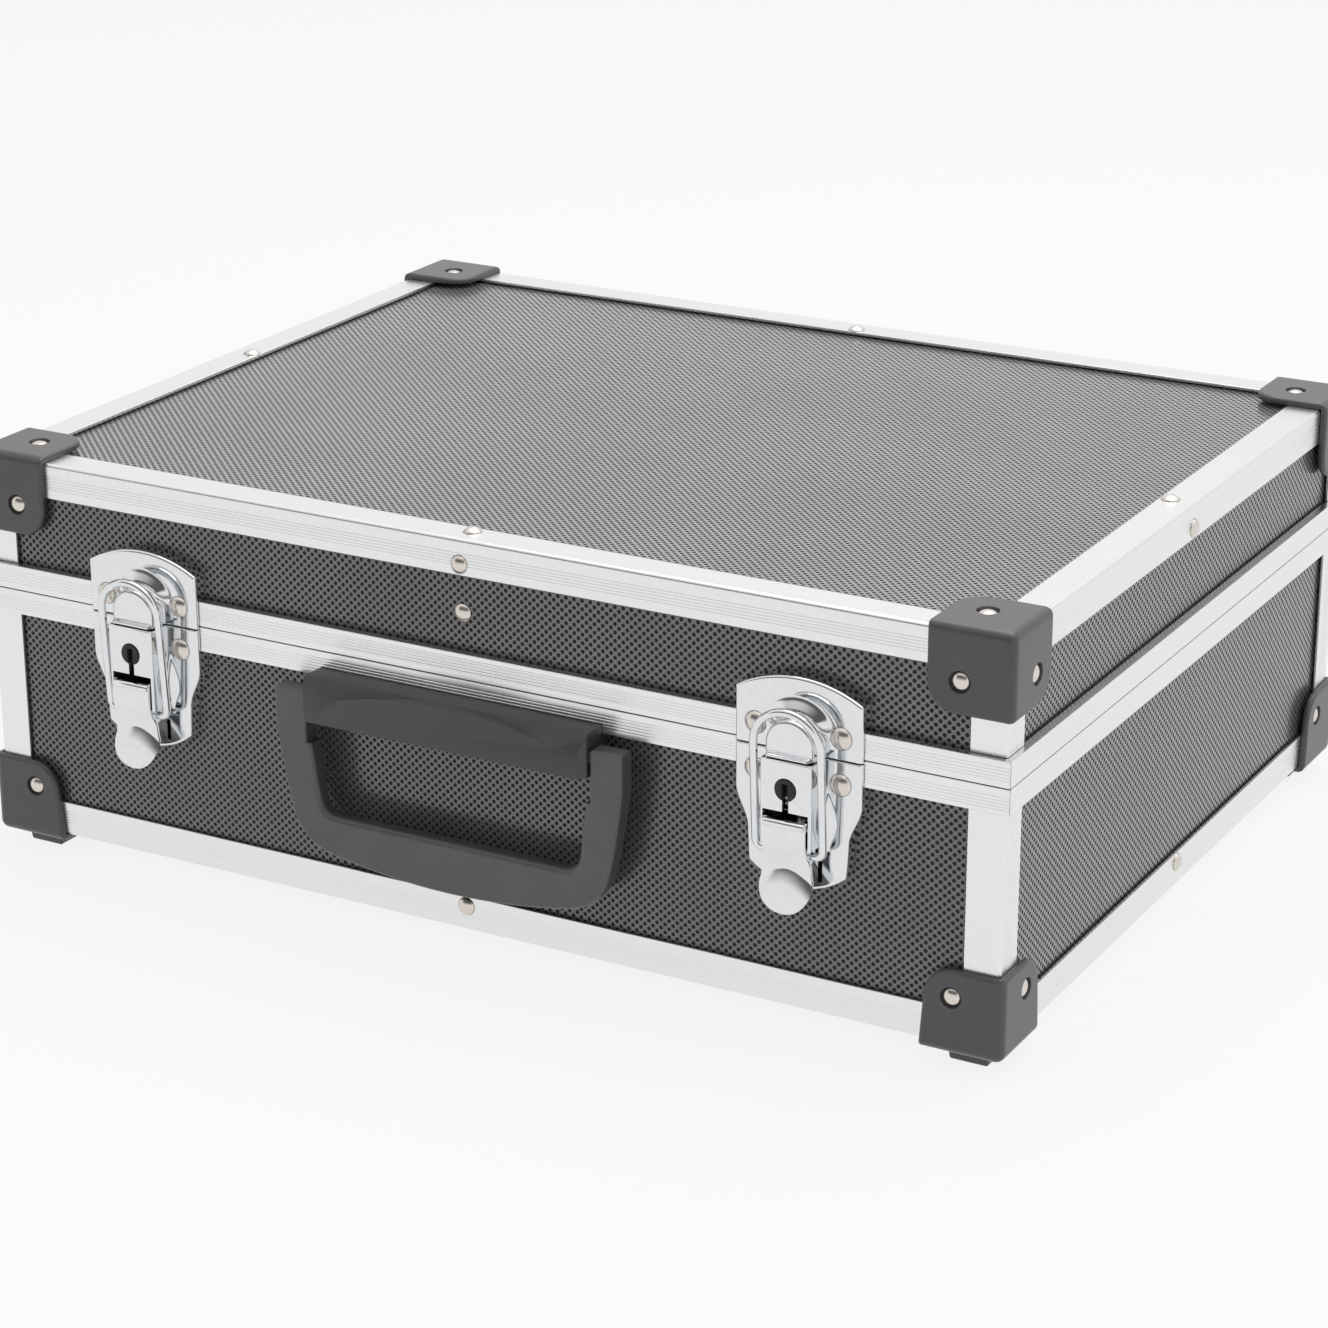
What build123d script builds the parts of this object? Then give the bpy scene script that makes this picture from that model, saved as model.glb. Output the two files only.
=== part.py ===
from build123d import *
from math import atan2, cos, degrees, pi, sin
import os

# A hard microphone case: laminated boards held in grooved aluminium
# extrusions, moulded corner caps, two key-locking draw latches, a folding
# carrying handle and a foam interior. Millimetres, +Z up, front towards -Y.
# The origin is on the floor, under the middle of everything the case reaches.

# ---------------------------------------------------------------- the case
case_width = 430.0          # over the extrusions, left to right
case_depth = 330.0          # over the extrusions, front to back
case_height = 153.0         # over the extrusions, bottom to top
seam_height = 100.5         # bottom of the extrusions to the lid seam
seam_gap = 0.3              # between the two rims when the lid is shut
fit_gap = 0.2               # between pieces that seat on one another

# -------------------------------------------------------------- extrusions
profile_face = 13.8         # width of each outer face
profile_wall = 1.2
profile_arris = 1.5         # rounding of the outer edge
board = 4.0                 # laminated board thickness
board_recess = 2.0          # boards lie this far behind the extrusion faces
rim_height = 9.7
rim_proud = 2.5             # rims stand this far outside the other faces
rim_slot_roof = 3.0         # metal between the board slot and the seam
tongue_width = 1.6
tongue_depth = 1.4
tongue_play = 0.4
rib_count = 5               # shallow decorative grooves along each face
rib_pitch = 1.15
rib_size = 0.55
profile_rib_height = 7.4    # middle of the rib group, from the outer edge
rim_rib_height = 5.2        # the same on a rim, from its seam edge

# ------------------------------------------------------------- corner caps
cap_leg = 29.6              # cover along each edge, from the extrusion corner
cap_proud = 2.6             # plastic outside the extrusion faces
cap_corner = 11.0           # rounding of each free corner
cap_arris = 2.6             # flat worked along the three outer edges
cap_rivet = 17.2            # rivets of the upright faces, from the upright edge
cap_rivet_lid = 17.6        # their drop below the top extrusions
cap_rivet_base = 19.2       # their rise above the bottom extrusions
cap_rivet_flat = 15.6       # rivet on the top face, from both extrusion faces
cap_dish = 1.3              # depth of the recess round each rivet head
cap_dish_radius = 4.1
foot_size = 16.4
foot_inset = 5.6            # foot, from the extrusion faces
foot_depth = 6.2            # foot, below the cap
foot_draft = 8.0            # degrees that its sides lean in

# ------------------------------------------------------------------ rivets
rivet_head_radius = 3.6
rivet_head_height = 1.3
rivet_facets = 8
profile_rivet = 9.7         # from the outer edge of an extrusion
lid_rivet_drop = 28.6       # single rivet on the lid front, below the top

# ----------------------------------------------------------------- latches
latch_offset = 138.7        # each side of the middle of the case
sheet = 1.2                 # pressed steel
latch_half_width = 24.6
latch_face = 4.2            # pressed face, outside the extrusion faces
latch_seam_drop = 1.2       # keeper's and lock plate's split, below the seam
latch_split = 0.5
keeper_side = 19.6          # straight side of the keeper, above the seam
keeper_crown = 26.4         # top of the keeper's arched edge, above the seam
boss_radius = 9.3           # raised D that the bail draws down
boss_face = 11.4            # face of the D, outside the extrusion faces
boss_centre = 3.5           # centre of its arch, above the seam
skirt_radius = 15.4         # pressed shoulder round the D
skirt_face = 7.2
latch_rivet_x = 16.5
keeper_rivet = 7.0          # above the seam
lock_rivet = 10.0           # below the seam

lock_shoulder = 18.5        # where the lock plate starts to narrow, below seam
lock_waist = 31.5           # where it has narrowed
lock_waist_half = 19.8
lock_corner = 45.0          # bottom corners
lock_foot_half = 19.0
lock_bottom = 52.2          # bottom of its rounded edge
slot_width = 1.7            # relief slots beside the lever
slot_offset = 9.2
slot_top = 39.5
slot_bottom = 48.0
housing_half = 9.9          # raised lock housing
housing_face = 13.5
housing_window = 20.2       # top of the opening in its face, below the seam
cheek_bottom = 33.5         # lower end of its cheeks
plug_radius = 4.0
plug_drop = 11.8            # lock plug, below the seam
plug_proud = 0.5
plug_length = 6.0
key_width = 2.3
key_depth = 3.5
key_rise = 2.2

lever_pivot_drop = 25.5     # lever pin, below the seam
lever_pivot_out = 11.5      # lever pin, outside the extrusion faces
pin_radius = 1.3
pin_facets = 16
running = 0.08              # radial clearance of turning pieces
lever_play = 0.3            # each side, between lever and cheeks
lever_barrel_radius = 1.5
lever_barrel_out = 13.6
lever_barrel_drop = 24.1
lever_bend_out = 13.9       # middle of the sheet at each bend of the lever
lever_bend_drop = 32.5
lever_knee_out = 11.3
lever_knee_drop = 40.0
lever_spoon_out = 11.3
lever_spoon_drop = 47.0
lever_tip_out = 12.4
lever_tip_drop = 58.1
lever_half_spoon = 10.0
lever_half_knee = 9.5
thumb_radius = 5.6          # pressed hollow for the thumb
thumb_depth = 0.7
thumb_drop = 49.5
ear_radius = 3.3            # rounding of the lever's ears
ear_facets = 12

bail_wire = 1.5             # wire radius
bail_facets = 8
bail_arch = 12              # straight runs that make up its arch
bail_half = 13.0            # centre line of each arm
bail_pivot_out = 9.8
bail_pivot_drop = 36.0
bail_arch_out = 13.3        # centre line at the top of the arch
bail_bend = 2.6
bail_tip = 6.9              # inner end of each turned-in foot

# ------------------------------------------------------------------ handle
mount_half = 60.0
mount_proud = 16.0
mount_top = 6.5             # below the seam
mount_bottom = 23.1
mount_facet_drop = 6.3
mount_facet_depth = 3.5
mount_apron_half = 47.0
mount_corner = 2.4
handle_pivot_drop = 17.0
handle_pivot_out = 8.75
handle_half = 73.8          # outside of the arms
handle_thick = 7.5
handle_arm_gap = 0.5        # between arm and mount
handle_arm_top = 4.5        # above the pivot
handle_step_drop = 33.0     # inner step of the arms, below the seam
handle_step = 2.0
handle_inner_half = 54.6    # inside of the arms above the grip
grip_top = 60.7             # inner edge of the grip, below the seam
grip_side = 73.2            # underside of the grip at its ends
grip_bottom = 81.3          # underside of the grip in the middle
grip_side_half = 64.8
grip_corner = 17.0          # rounding of its lower corners
grip_inner_corner = 6.5     # rounding inside, above the grip
handle_arris = 1.2          # flat along the edges of the loop
handle_pin_radius = 2.5
handle_pin_hold = 8.0       # pin length inside the mount
handle_pin_reach = 8.5      # pin length inside the arm

# ------------------------------------------------------------------ hinges
hinge_offset = 138.7
hinge_length = 62.0
knuckle_radius = 3.0
knuckle_count = 3
knuckle_gap = 0.4
hinge_pin_radius = 1.5
leaf_reach = 26.0           # lower end of a leaf, from the seam
leaf_rivet = 21.0
leaf_rivet_pitch = 22.0

# -------------------------------------------------------------------- foam
foam_gap = 0.3
pad_thick = 9.6
foam_drop = 10.0            # top of the insert, below the seam
lid_foam_rise = 4.0         # underside of the lid foam, above the seam
pocket_count = 6            # pockets for microphones
pocket_pitch = 64.0
pocket_length = 188.0
pocket_width = 38.0
pocket_head = 54.0          # wide end, for the microphone's head
pocket_head_length = 62.0
pocket_depth = 46.0
tray_length = 372.0         # compartment for cables and clips
tray_width = 62.0
foam_margin = 20.0          # foam left round the outer cuts

# ------------------------------------------------------------ derived sizes
foot_height = cap_proud + foot_depth        # floor to the bottom extrusions
hinge_out = rim_proud + fit_gap + knuckle_radius
back_reach = hinge_out + knuckle_radius
y_front = (mount_proud - back_reach - case_depth) / 2
y_back = y_front + case_depth
y_mid = (y_front + y_back) / 2
x_side = case_width / 2
z_bottom = foot_height
z_top = foot_height + case_height
z_seam = foot_height + seam_height
inner_wall = board_recess + board + fit_gap  # face to the slot's inner wall
core = inner_wall + profile_wall             # face to the inside of the frame

os.makedirs("parts", exist_ok=True)


def save(builder, name):
    """Label a finished piece and write it as one STEP file."""
    builder.part.label = name
    export_step(builder.part, f"parts/{name}.step")


# ------------------------------------------------------ planes on the case
INWARD = {"front": (0, 1), "back": (0, -1), "left": (1, 0), "right": (-1, 0)}
MIDDLE = {"front": (0, y_front), "back": (0, y_back), "left": (-x_side, y_mid), "right": (x_side, y_mid)}
SPAN = {"front": case_width, "back": case_width, "left": case_depth, "right": case_depth}
CORNERS = {"front_left": (-1, -1), "front_right": (1, -1), "back_left": (-1, 1), "back_right": (1, 1)}
LATCHES = {"left": -latch_offset, "right": latch_offset}


def inward(side):
    return Vector(*INWARD[side], 0)


def along(side):
    """Direction along a side, with the case on the left hand."""
    return inward(side).cross(Vector(0, 0, 1))


def face_plane(side, depth=0.0):
    """Upright plane of a side, depth behind its extrusion faces; x along, y up."""
    origin = Vector(*MIDDLE[side], 0) + inward(side) * depth
    return Plane(origin=origin, x_dir=along(side), z_dir=-inward(side))


def section_plane(side, level, up):
    """Cross-section of a bar on a side: x inward, y away from its outer edge."""
    return Plane(origin=Vector(*MIDDLE[side], level), x_dir=inward(side), z_dir=along(side) * up)


def plan_plane(side, level):
    """Level plane with x along a side and y inward."""
    return Plane(origin=Vector(*MIDDLE[side], level), x_dir=along(side), z_dir=(0, 0, 1))


# ------------------------------------------------------------- rivet seats
def face_seats(side, depth, spots):
    """Rivet seats on an upright face; spots are (along, height)."""
    plane = face_plane(side, depth)
    return [Plane(origin=plane.from_local_coords((x, z, 0)), x_dir=plane.x_dir, z_dir=plane.z_dir)
            for x, z in spots]


def level_seat(x, y, z, up):
    return Plane(origin=(x, y, z), x_dir=(1, 0, 0), z_dir=(0, 0, up))


def end_level(up):
    """Outer face of the bottom (-1) or top (+1) extrusions."""
    return z_top if up > 0 else z_bottom


def profile_seats(side, up):
    """Two rivets at the middle of a bottom or top extrusion, one on each face."""
    level = end_level(up)
    x, y = Vector(*MIDDLE[side]).X, Vector(*MIDDLE[side]).Y
    dx, dy = INWARD[side]
    upright = face_seats(side, 0, [(0, level - up * profile_rivet)])
    flat = level_seat(x + dx * profile_rivet, y + dy * profile_rivet, level, up)
    return upright + [flat]


def corner_seats(corner, up):
    """Rivets of a corner cap, seated in its recesses; a foot covers the underside."""
    sx, sy = CORNERS[corner]
    x_out, y_out = sx * x_side, y_mid + sy * case_depth / 2
    seat = cap_proud - cap_dish
    level = z_top - cap_rivet_lid if up > 0 else z_bottom + cap_rivet_base
    front = Plane(origin=(x_out - sx * cap_rivet, y_out + sy * seat, level),
                  x_dir=(1, 0, 0), z_dir=(0, sy, 0))
    flank = Plane(origin=(x_out + sx * seat, y_out - sy * cap_rivet, level),
                  x_dir=(0, 1, 0), z_dir=(sx, 0, 0))
    if up < 0:
        return [front, flank]
    top = level_seat(x_out - sx * cap_rivet_flat, y_out - sy * cap_rivet_flat, z_top + seat, up)
    return [front, flank, top]


def latch_seats(up):
    """Rivets of the keepers (+1) or the lock plates (-1)."""
    rise = keeper_rivet if up > 0 else -lock_rivet
    spots = [(latch + side, z_seam + rise) for latch in LATCHES.values()
             for side in (-latch_rivet_x, latch_rivet_x)]
    return face_seats("front", -latch_face, spots)


leaf_face = fit_gap + sheet - board_recess   # outer face of a leaf on its board


def leaf_seats(up):
    """Rivets of the hinge leaves on the back boards."""
    spots = [(hinge + step, z_seam + up * leaf_rivet) for hinge in (-hinge_offset, hinge_offset)
             for step in (-leaf_rivet_pitch, 0, leaf_rivet_pitch)]
    return face_seats("back", -leaf_face, spots)


lid_front_seat = face_seats("front", board_recess, [(0, z_top - lid_rivet_drop)])


# -------------------------------------------------------------- extrusions
def ribs(middle, across):
    """Places of a group of grooves on the face that runs along local y."""
    first = middle - rib_pitch * (rib_count - 1) / 2
    return [(across, first + rib_pitch * number) for number in range(rib_count)]


def angle_section(plane):
    """Closed angle with a slot for a board in each leg; corner at the origin."""
    with BuildSketch(plane) as section:
        corner = (Align.MIN, Align.MIN)
        Rectangle(profile_wall, profile_face, align=corner)
        Rectangle(profile_face, profile_wall, align=corner)
        with Locations((inner_wall, 0)):
            Rectangle(profile_wall, profile_face, align=corner)
        with Locations((0, inner_wall)):
            Rectangle(profile_face, profile_wall, align=corner)
        fillet(section.vertices().sort_by(Axis((0, 0, 0), (1, 1, 0)))[0], profile_arris)
        with Locations(*ribs(profile_rib_height, 0)):
            Rectangle(rib_size, rib_size, rotation=45, mode=Mode.SUBTRACT)
    return section.sketch


def mitre(side, reach, depth):
    """Cut both ends of the bar in hand at 45 degrees, outside edge reach out."""
    half = SPAN[side] / 2 - fit_gap / 2
    with BuildSketch(plan_plane(side, 0)) as plan:
        with BuildLine():
            Polyline((-half - reach, -reach), (half + reach, -reach),
                     (half - depth, depth), (depth - half, depth), close=True)
        make_face()
    extrude(plan.sketch, amount=2 * z_top, mode=Mode.INTERSECT)


def edge_profile(name, side, up):
    """Bottom (-1) or top (+1) extrusion of one side, mitred into its neighbours."""
    with BuildPart() as bar:
        section = angle_section(section_plane(side, end_level(up), -up))
        extrude(section, amount=SPAN[side] / 2, both=True)
        mitre(side, 0, profile_face)
    save(bar, name)


def post_set(name, low, high, up):
    """Four upright corner extrusions of one half of the case."""
    with BuildPart() as posts:
        for sx, sy in CORNERS.values():
            plane = Plane(origin=(sx * x_side, y_mid + sy * case_depth / 2, low),
                          x_dir=(-sx, 0, 0), z_dir=(0, 0, sx * sy))
            section = angle_section(plane)
            extrude(section, amount=high - low, dir=(0, 0, 1))
    save(posts, name)


def rim(name, side, up):
    """Rim extrusion at the seam: a groove on the base (-1), a tongue on the lid (+1)."""
    level = z_seam + up * seam_gap / 2
    groove_middle = (profile_wall + inner_wall) / 2
    with BuildPart() as bar:
        with BuildSketch(section_plane(side, level, up)) as section:
            with Locations((-rim_proud, 0)):
                Rectangle(rim_proud + core, rim_height, align=(Align.MIN, Align.MIN))
            with Locations((profile_wall, rim_slot_roof)):
                Rectangle(inner_wall - profile_wall, rim_height, align=(Align.MIN, Align.MIN),
                          mode=Mode.SUBTRACT)
            with Locations((profile_wall - rim_proud, profile_wall)):
                Rectangle(rim_proud - profile_wall, rim_height - 2 * profile_wall,
                          align=(Align.MIN, Align.MIN), mode=Mode.SUBTRACT)
            with Locations(*ribs(rim_rib_height, -rim_proud)):
                Rectangle(rib_size, rib_size, rotation=45, mode=Mode.SUBTRACT)
            if up < 0:
                with Locations((groove_middle, 0)):
                    Rectangle(tongue_width + 2 * tongue_play, 2 * (tongue_depth + tongue_play - seam_gap),
                              mode=Mode.SUBTRACT)
            else:
                with Locations((groove_middle, -tongue_depth)):
                    Rectangle(tongue_width, tongue_depth, align=(Align.CENTER, Align.MIN))
        extrude(section.sketch, amount=SPAN[side] / 2 + rim_proud, both=True)
        mitre(side, rim_proud, core)
    save(bar, name)


for side in INWARD:
    edge_profile(f"base_profile_{side}", side, -1)
    edge_profile(f"lid_profile_{side}", side, 1)
    rim(f"base_rim_{side}", side, -1)
    rim(f"lid_rim_{side}", side, 1)
rim_low = z_seam - seam_gap / 2 - rim_height
rim_high = z_seam + seam_gap / 2 + rim_height
post_set("base_posts", z_bottom + profile_face + fit_gap, rim_low - fit_gap, -1)
post_set("lid_posts", rim_high + fit_gap, z_top - profile_face - fit_gap, 1)


# ------------------------------------------------------------------ boards
def wall(name, side, up):
    """Upright board of one side, its edges in the slots of the extrusions."""
    ends = [end_level(up) - up * (core + fit_gap), z_seam + up * (seam_gap / 2 + rim_slot_roof + fit_gap)]
    with BuildPart() as sheet_board:
        with BuildSketch(face_plane(side, board_recess + board)) as outline:
            with Locations((0, sum(ends) / 2)):
                Rectangle(SPAN[side] - 2 * (core + fit_gap), abs(ends[0] - ends[1]))
        extrude(outline.sketch, amount=board)
    save(sheet_board, name)


def flat_board(name, up):
    """Bottom (-1) or top (+1) board."""
    level = end_level(up) - up * board_recess
    with BuildPart() as sheet_board:
        with BuildSketch(Plane.XY.offset(level)) as outline:
            with Locations((0, y_mid)):
                Rectangle(case_width - 2 * (core + fit_gap), case_depth - 2 * (core + fit_gap))
        extrude(outline.sketch, amount=-up * board)
    save(sheet_board, name)


for side in INWARD:
    wall(f"base_panel_{side}", side, -1)
    wall(f"lid_panel_{side}", side, 1)
flat_board("base_panel_bottom", -1)
flat_board("lid_panel_top", 1)


# ------------------------------------------------------------- corner caps
def corner_cap(corner, up):
    """Moulded cap on one corner; the bottom ones carry a foot."""
    sx, sy = CORNERS[corner]
    size = cap_leg + cap_proud
    outer = Vector(sx * (x_side + cap_proud), y_mid + sy * (case_depth / 2 + cap_proud),
                   end_level(up) + up * cap_proud)
    diagonal = Axis(outer, Vector(-sx, -sy, -up))
    shell_gap = fit_gap / 2
    with BuildPart() as cap:
        with BuildSketch(Plane.XY.offset(outer.Z)) as blank:
            with Locations((outer.X - sx * size / 2, outer.Y - sy * size / 2)):
                Rectangle(size, size)
        extrude(blank.sketch, amount=-up * size)
        free = [cap.edges().filter_by(axis).sort_by(diagonal)[-1] for axis in (Axis.X, Axis.Y, Axis.Z)]
        fillet(free, cap_corner)
        arrises = [cap.edges().filter_by(axis).sort_by(diagonal)[0] for axis in (Axis.X, Axis.Y, Axis.Z)]
        chamfer(arrises, cap_arris)
        if up < 0:
            middle = foot_inset + foot_size / 2
            with BuildSketch(Plane.XY.offset(z_bottom - cap_proud)) as pad:
                with Locations((sx * (x_side - middle), y_mid + sy * (case_depth / 2 - middle))):
                    Rectangle(foot_size, foot_size)
            extrude(pad.sketch, amount=-foot_depth, taper=foot_draft)
        hollow_x, hollow_y = x_side + shell_gap - size / 2, case_depth / 2 + shell_gap - size / 2
        with BuildSketch(Plane.XY.offset(end_level(up) + up * shell_gap)) as inside:
            with Locations((sx * hollow_x, y_mid + sy * hollow_y)):
                Rectangle(size, size)
        extrude(inside.sketch, amount=-up * size, mode=Mode.SUBTRACT)
        for seat in corner_seats(corner, up):
            with BuildSketch(seat) as dish:
                RegularPolygon(cap_dish_radius, rivet_facets)
            extrude(dish.sketch, amount=cap_proud, mode=Mode.SUBTRACT)
    return cap.part


for half, up in (("base", -1), ("lid", 1)):
    with BuildPart() as caps:
        for corner in CORNERS:
            add(corner_cap(corner, up))
    save(caps, f"{half}_caps")


# ------------------------------------------------------------------ rivets
def rivet_set(name, up):
    """Heads of all rivets of one half of the case, on the pieces that they hold down."""
    seats = [seat for side in INWARD for seat in profile_seats(side, up)]
    seats += [seat for corner in CORNERS for seat in corner_seats(corner, up)]
    seats += latch_seats(up) + leaf_seats(up)
    if up > 0:
        seats += lid_front_seat
    with BuildPart() as rivets:
        for seat in seats:
            with BuildSketch(seat) as head:
                RegularPolygon(rivet_head_radius, rivet_facets)
            extrude(head.sketch, amount=rivet_head_height)
    save(rivets, name)


rivet_set("base_rivets", -1)
rivet_set("lid_rivets", 1)


# ---------------------------------------------------- planes of the latches
latch_low = z_seam - latch_seam_drop - latch_split / 2     # top of the lock plate
latch_high = z_seam - latch_seam_drop + latch_split / 2    # foot of the keeper
tray_back = board_recess - fit_gap                         # turned-back edges end here


def front_plane(x, out):
    """Upright plane out in front of the extrusion faces; x across, y up."""
    return Plane(origin=(x, y_front - out, 0), x_dir=(1, 0, 0), z_dir=(0, -1, 0))


def side_plane(x):
    """Plane seen from the side: x out from the front faces, y up."""
    return Plane(origin=(x, y_front, 0), x_dir=(0, -1, 0), z_dir=(-1, 0, 0))


def back_plane(x):
    """Plane seen from the side at the back: x out from the back faces, y up."""
    return Plane(origin=(x, y_back, 0), x_dir=(0, 1, 0), z_dir=(1, 0, 0))


def cross_bore(x, out, height, radius, reach):
    """Cut a hole from left to right through the piece in hand, reach each side of x."""
    with BuildSketch(side_plane(x)) as bore:
        with Locations((out, height)):
            Circle(radius)
    extrude(bore.sketch, amount=reach, both=True, mode=Mode.SUBTRACT)


def arched_outline(plane, radius, low, centre):
    """Upright outline with a round top."""
    with BuildSketch(plane) as outline:
        with BuildLine():
            Polyline((-radius, centre), (-radius, low), (radius, low), (radius, centre))
            ThreePointArc((radius, centre), (0, centre + radius), (-radius, centre))
        make_face()
    return outline.sketch


def block(plane, half, low, high, amount, mode=Mode.ADD):
    """Rectangular block on a plane, half wide each side of its origin."""
    with BuildSketch(plane) as outline:
        with Locations((0, (low + high) / 2)):
            Rectangle(2 * half, high - low)
    extrude(outline.sketch, amount=amount, mode=mode)


# ----------------------------------------------------------------- keepers
def keeper_outline(plane, inset=0.0):
    side, crown = z_seam + keeper_side, z_seam + keeper_crown
    with BuildSketch(plane) as outline:
        with BuildLine():
            Polyline((-latch_half_width, side), (-latch_half_width, latch_high),
                     (latch_half_width, latch_high), (latch_half_width, side))
            ThreePointArc((latch_half_width, side), (0, crown), (-latch_half_width, side))
        make_face()
        if inset:
            offset(amount=-inset, mode=Mode.REPLACE)
    return outline.sketch


def lock_outline(plane, inset=0.0):
    shoulder, waist = z_seam - lock_shoulder, z_seam - lock_waist
    corner, bottom = z_seam - lock_corner, z_seam - lock_bottom
    with BuildSketch(plane) as outline:
        with BuildLine():
            Polyline((0, latch_low), (latch_half_width, latch_low), (latch_half_width, shoulder),
                     (lock_waist_half, waist), (lock_foot_half, corner))
            mirror(about=Plane.YZ)
            ThreePointArc((lock_foot_half, corner), (0, bottom), (-lock_foot_half, corner))
        make_face()
        if inset:
            offset(amount=-inset, mode=Mode.REPLACE)
    return outline.sketch


def keeper(x):
    """Upper plate of a latch: arched crown, skirt and the D that the bail draws down."""
    turned = tray_back + latch_face
    centre = z_seam + boss_centre
    rise = skirt_face - latch_face
    spread = skirt_radius - boss_radius - sheet
    with BuildPart() as plate:
        extrude(keeper_outline(front_plane(x, -tray_back)), amount=turned)
        extrude(keeper_outline(front_plane(x, -tray_back), sheet), amount=turned - sheet, mode=Mode.SUBTRACT)
        block(front_plane(x, -tray_back), case_width, 0, rim_high + fit_gap, board_recess + rim_proud,
              Mode.SUBTRACT)
        skirt = arched_outline(front_plane(x, latch_face), skirt_radius, latch_high - 2 * spread, centre)
        extrude(skirt, amount=rise, taper=degrees(atan2(spread, rise)))
        behind = front_plane(x, latch_face - sheet)
        extrude(arched_outline(behind, boss_radius, latch_high - spread, centre),
                amount=boss_face - latch_face + sheet)
        hollow = arched_outline(behind, boss_radius - sheet, latch_high + sheet, centre)
        extrude(hollow, amount=boss_face - latch_face, mode=Mode.SUBTRACT)
        with BuildSketch(front_plane(x, latch_face)) as seats:
            with Locations((-latch_rivet_x, z_seam + keeper_rivet), (latch_rivet_x, z_seam + keeper_rivet)):
                RegularPolygon(rivet_head_radius + fit_gap, rivet_facets)
        extrude(seats.sketch, amount=skirt_face, mode=Mode.SUBTRACT)
        split(bisect_by=Plane.XY.offset(latch_high), keep=Keep.TOP)
    return plate.part


def lock_plate(x):
    """Lower plate of a latch with the raised housing of its lock."""
    turned = tray_back + latch_face
    window = z_seam - housing_window
    cheek = z_seam - cheek_bottom
    slot_high, slot_low = z_seam - slot_top, z_seam - slot_bottom
    plug = z_seam - plug_drop
    inside = housing_half - sheet
    with BuildPart() as plate:
        extrude(lock_outline(front_plane(x, -tray_back)), amount=turned)
        extrude(lock_outline(front_plane(x, -tray_back), sheet), amount=turned - sheet, mode=Mode.SUBTRACT)
        block(front_plane(x, -tray_back), case_width, rim_low - fit_gap, z_top, board_recess + rim_proud,
              Mode.SUBTRACT)
        with BuildSketch(front_plane(x, latch_face)) as slots:
            with Locations(*[(side, (slot_high + slot_low) / 2) for side in (-slot_offset, slot_offset)]):
                Rectangle(slot_width, slot_high - slot_low)
        extrude(slots.sketch, amount=-sheet, mode=Mode.SUBTRACT)
        block(front_plane(x, latch_face - sheet / 2), housing_half, cheek, latch_low,
              housing_face - latch_face + sheet / 2)
        block(front_plane(x, latch_face), inside, cheek, latch_low - sheet, housing_face - latch_face - sheet,
              Mode.SUBTRACT)
        block(front_plane(x, latch_face), inside, cheek, window, housing_face, Mode.SUBTRACT)
        with BuildSketch(front_plane(x, housing_face)) as keyhole:
            with Locations((0, plug)):
                Circle(plug_radius + running)
            with Locations((0, (plug + window) / 2)):
                Rectangle(key_width, plug - window)
        extrude(keyhole.sketch, amount=-2 * sheet, mode=Mode.SUBTRACT)
    return plate.part


def lock_plug(name, x):
    """Turning plug of the lock, with a slot for the key's bit."""
    height = z_seam - plug_drop
    front = housing_face + plug_proud
    with BuildPart() as plug:
        with BuildSketch(front_plane(x, front)) as body:
            with Locations((0, height)):
                Circle(plug_radius)
        extrude(body.sketch, amount=-plug_length)
        block(front_plane(x, front), key_width / 2, height - plug_radius, height + key_rise, -key_depth,
              Mode.SUBTRACT)
    save(plug, name)


def lever(name, x):
    """Draw lever: bent sheet with a rolled top, two ears and a spoon-shaped end."""
    half = housing_half - sheet - lever_play
    barrel = (lever_barrel_out, z_seam - lever_barrel_drop)
    pivot = (lever_pivot_out, z_seam - lever_pivot_drop)
    bail_eye = (bail_pivot_out, z_seam - bail_pivot_drop)
    run = [(lever_barrel_out + lever_barrel_radius - sheet / 2, barrel[1]),
           (lever_bend_out, z_seam - lever_bend_drop),
           (lever_knee_out, z_seam - lever_knee_drop),
           (lever_spoon_out, z_seam - lever_spoon_drop),
           (lever_tip_out, z_seam - lever_tip_drop)]
    spoon = z_seam - lever_tip_drop + lever_half_spoon
    wide_from = z_seam - bail_pivot_drop
    with BuildPart() as arm:
        with BuildSketch(side_plane(x)) as strip:
            with BuildLine() as centre_line:
                Polyline(*run)
            trace(centre_line.line, line_width=sheet)
            with Locations(barrel):
                RegularPolygon(lever_barrel_radius, ear_facets)
        extrude(strip.sketch, amount=lever_half_spoon, both=True)
        with BuildSketch(front_plane(x, 0)) as face:
            with Locations((0, (z_seam + wide_from) / 2)):
                Rectangle(2 * half, z_seam - wide_from)
            with Locations((0, (spoon + wide_from) / 2)):
                Rectangle(2 * lever_half_knee, wide_from - spoon)
            with Locations((0, spoon)):
                RegularPolygon(lever_half_spoon, 2 * ear_facets)
        extrude(face.sketch, amount=2 * housing_face, mode=Mode.INTERSECT)
        for start in (-half, half - sheet):
            with BuildSketch(side_plane(x + start)) as ear:
                with Locations(pivot, bail_eye):
                    RegularPolygon(ear_radius, ear_facets)
                make_hull()
            extrude(ear.sketch, amount=-sheet)
        cross_bore(x, *pivot, pin_radius + running, 2 * half)
        cross_bore(x, *bail_eye, bail_wire + running, 2 * half)
        with BuildSketch(front_plane(x, lever_spoon_out + sheet / 2)) as thumb:
            with Locations((0, z_seam - thumb_drop)):
                RegularPolygon(thumb_radius, ear_facets)
        extrude(thumb.sketch, amount=-thumb_depth, mode=Mode.SUBTRACT)
    save(arm, name)


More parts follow.
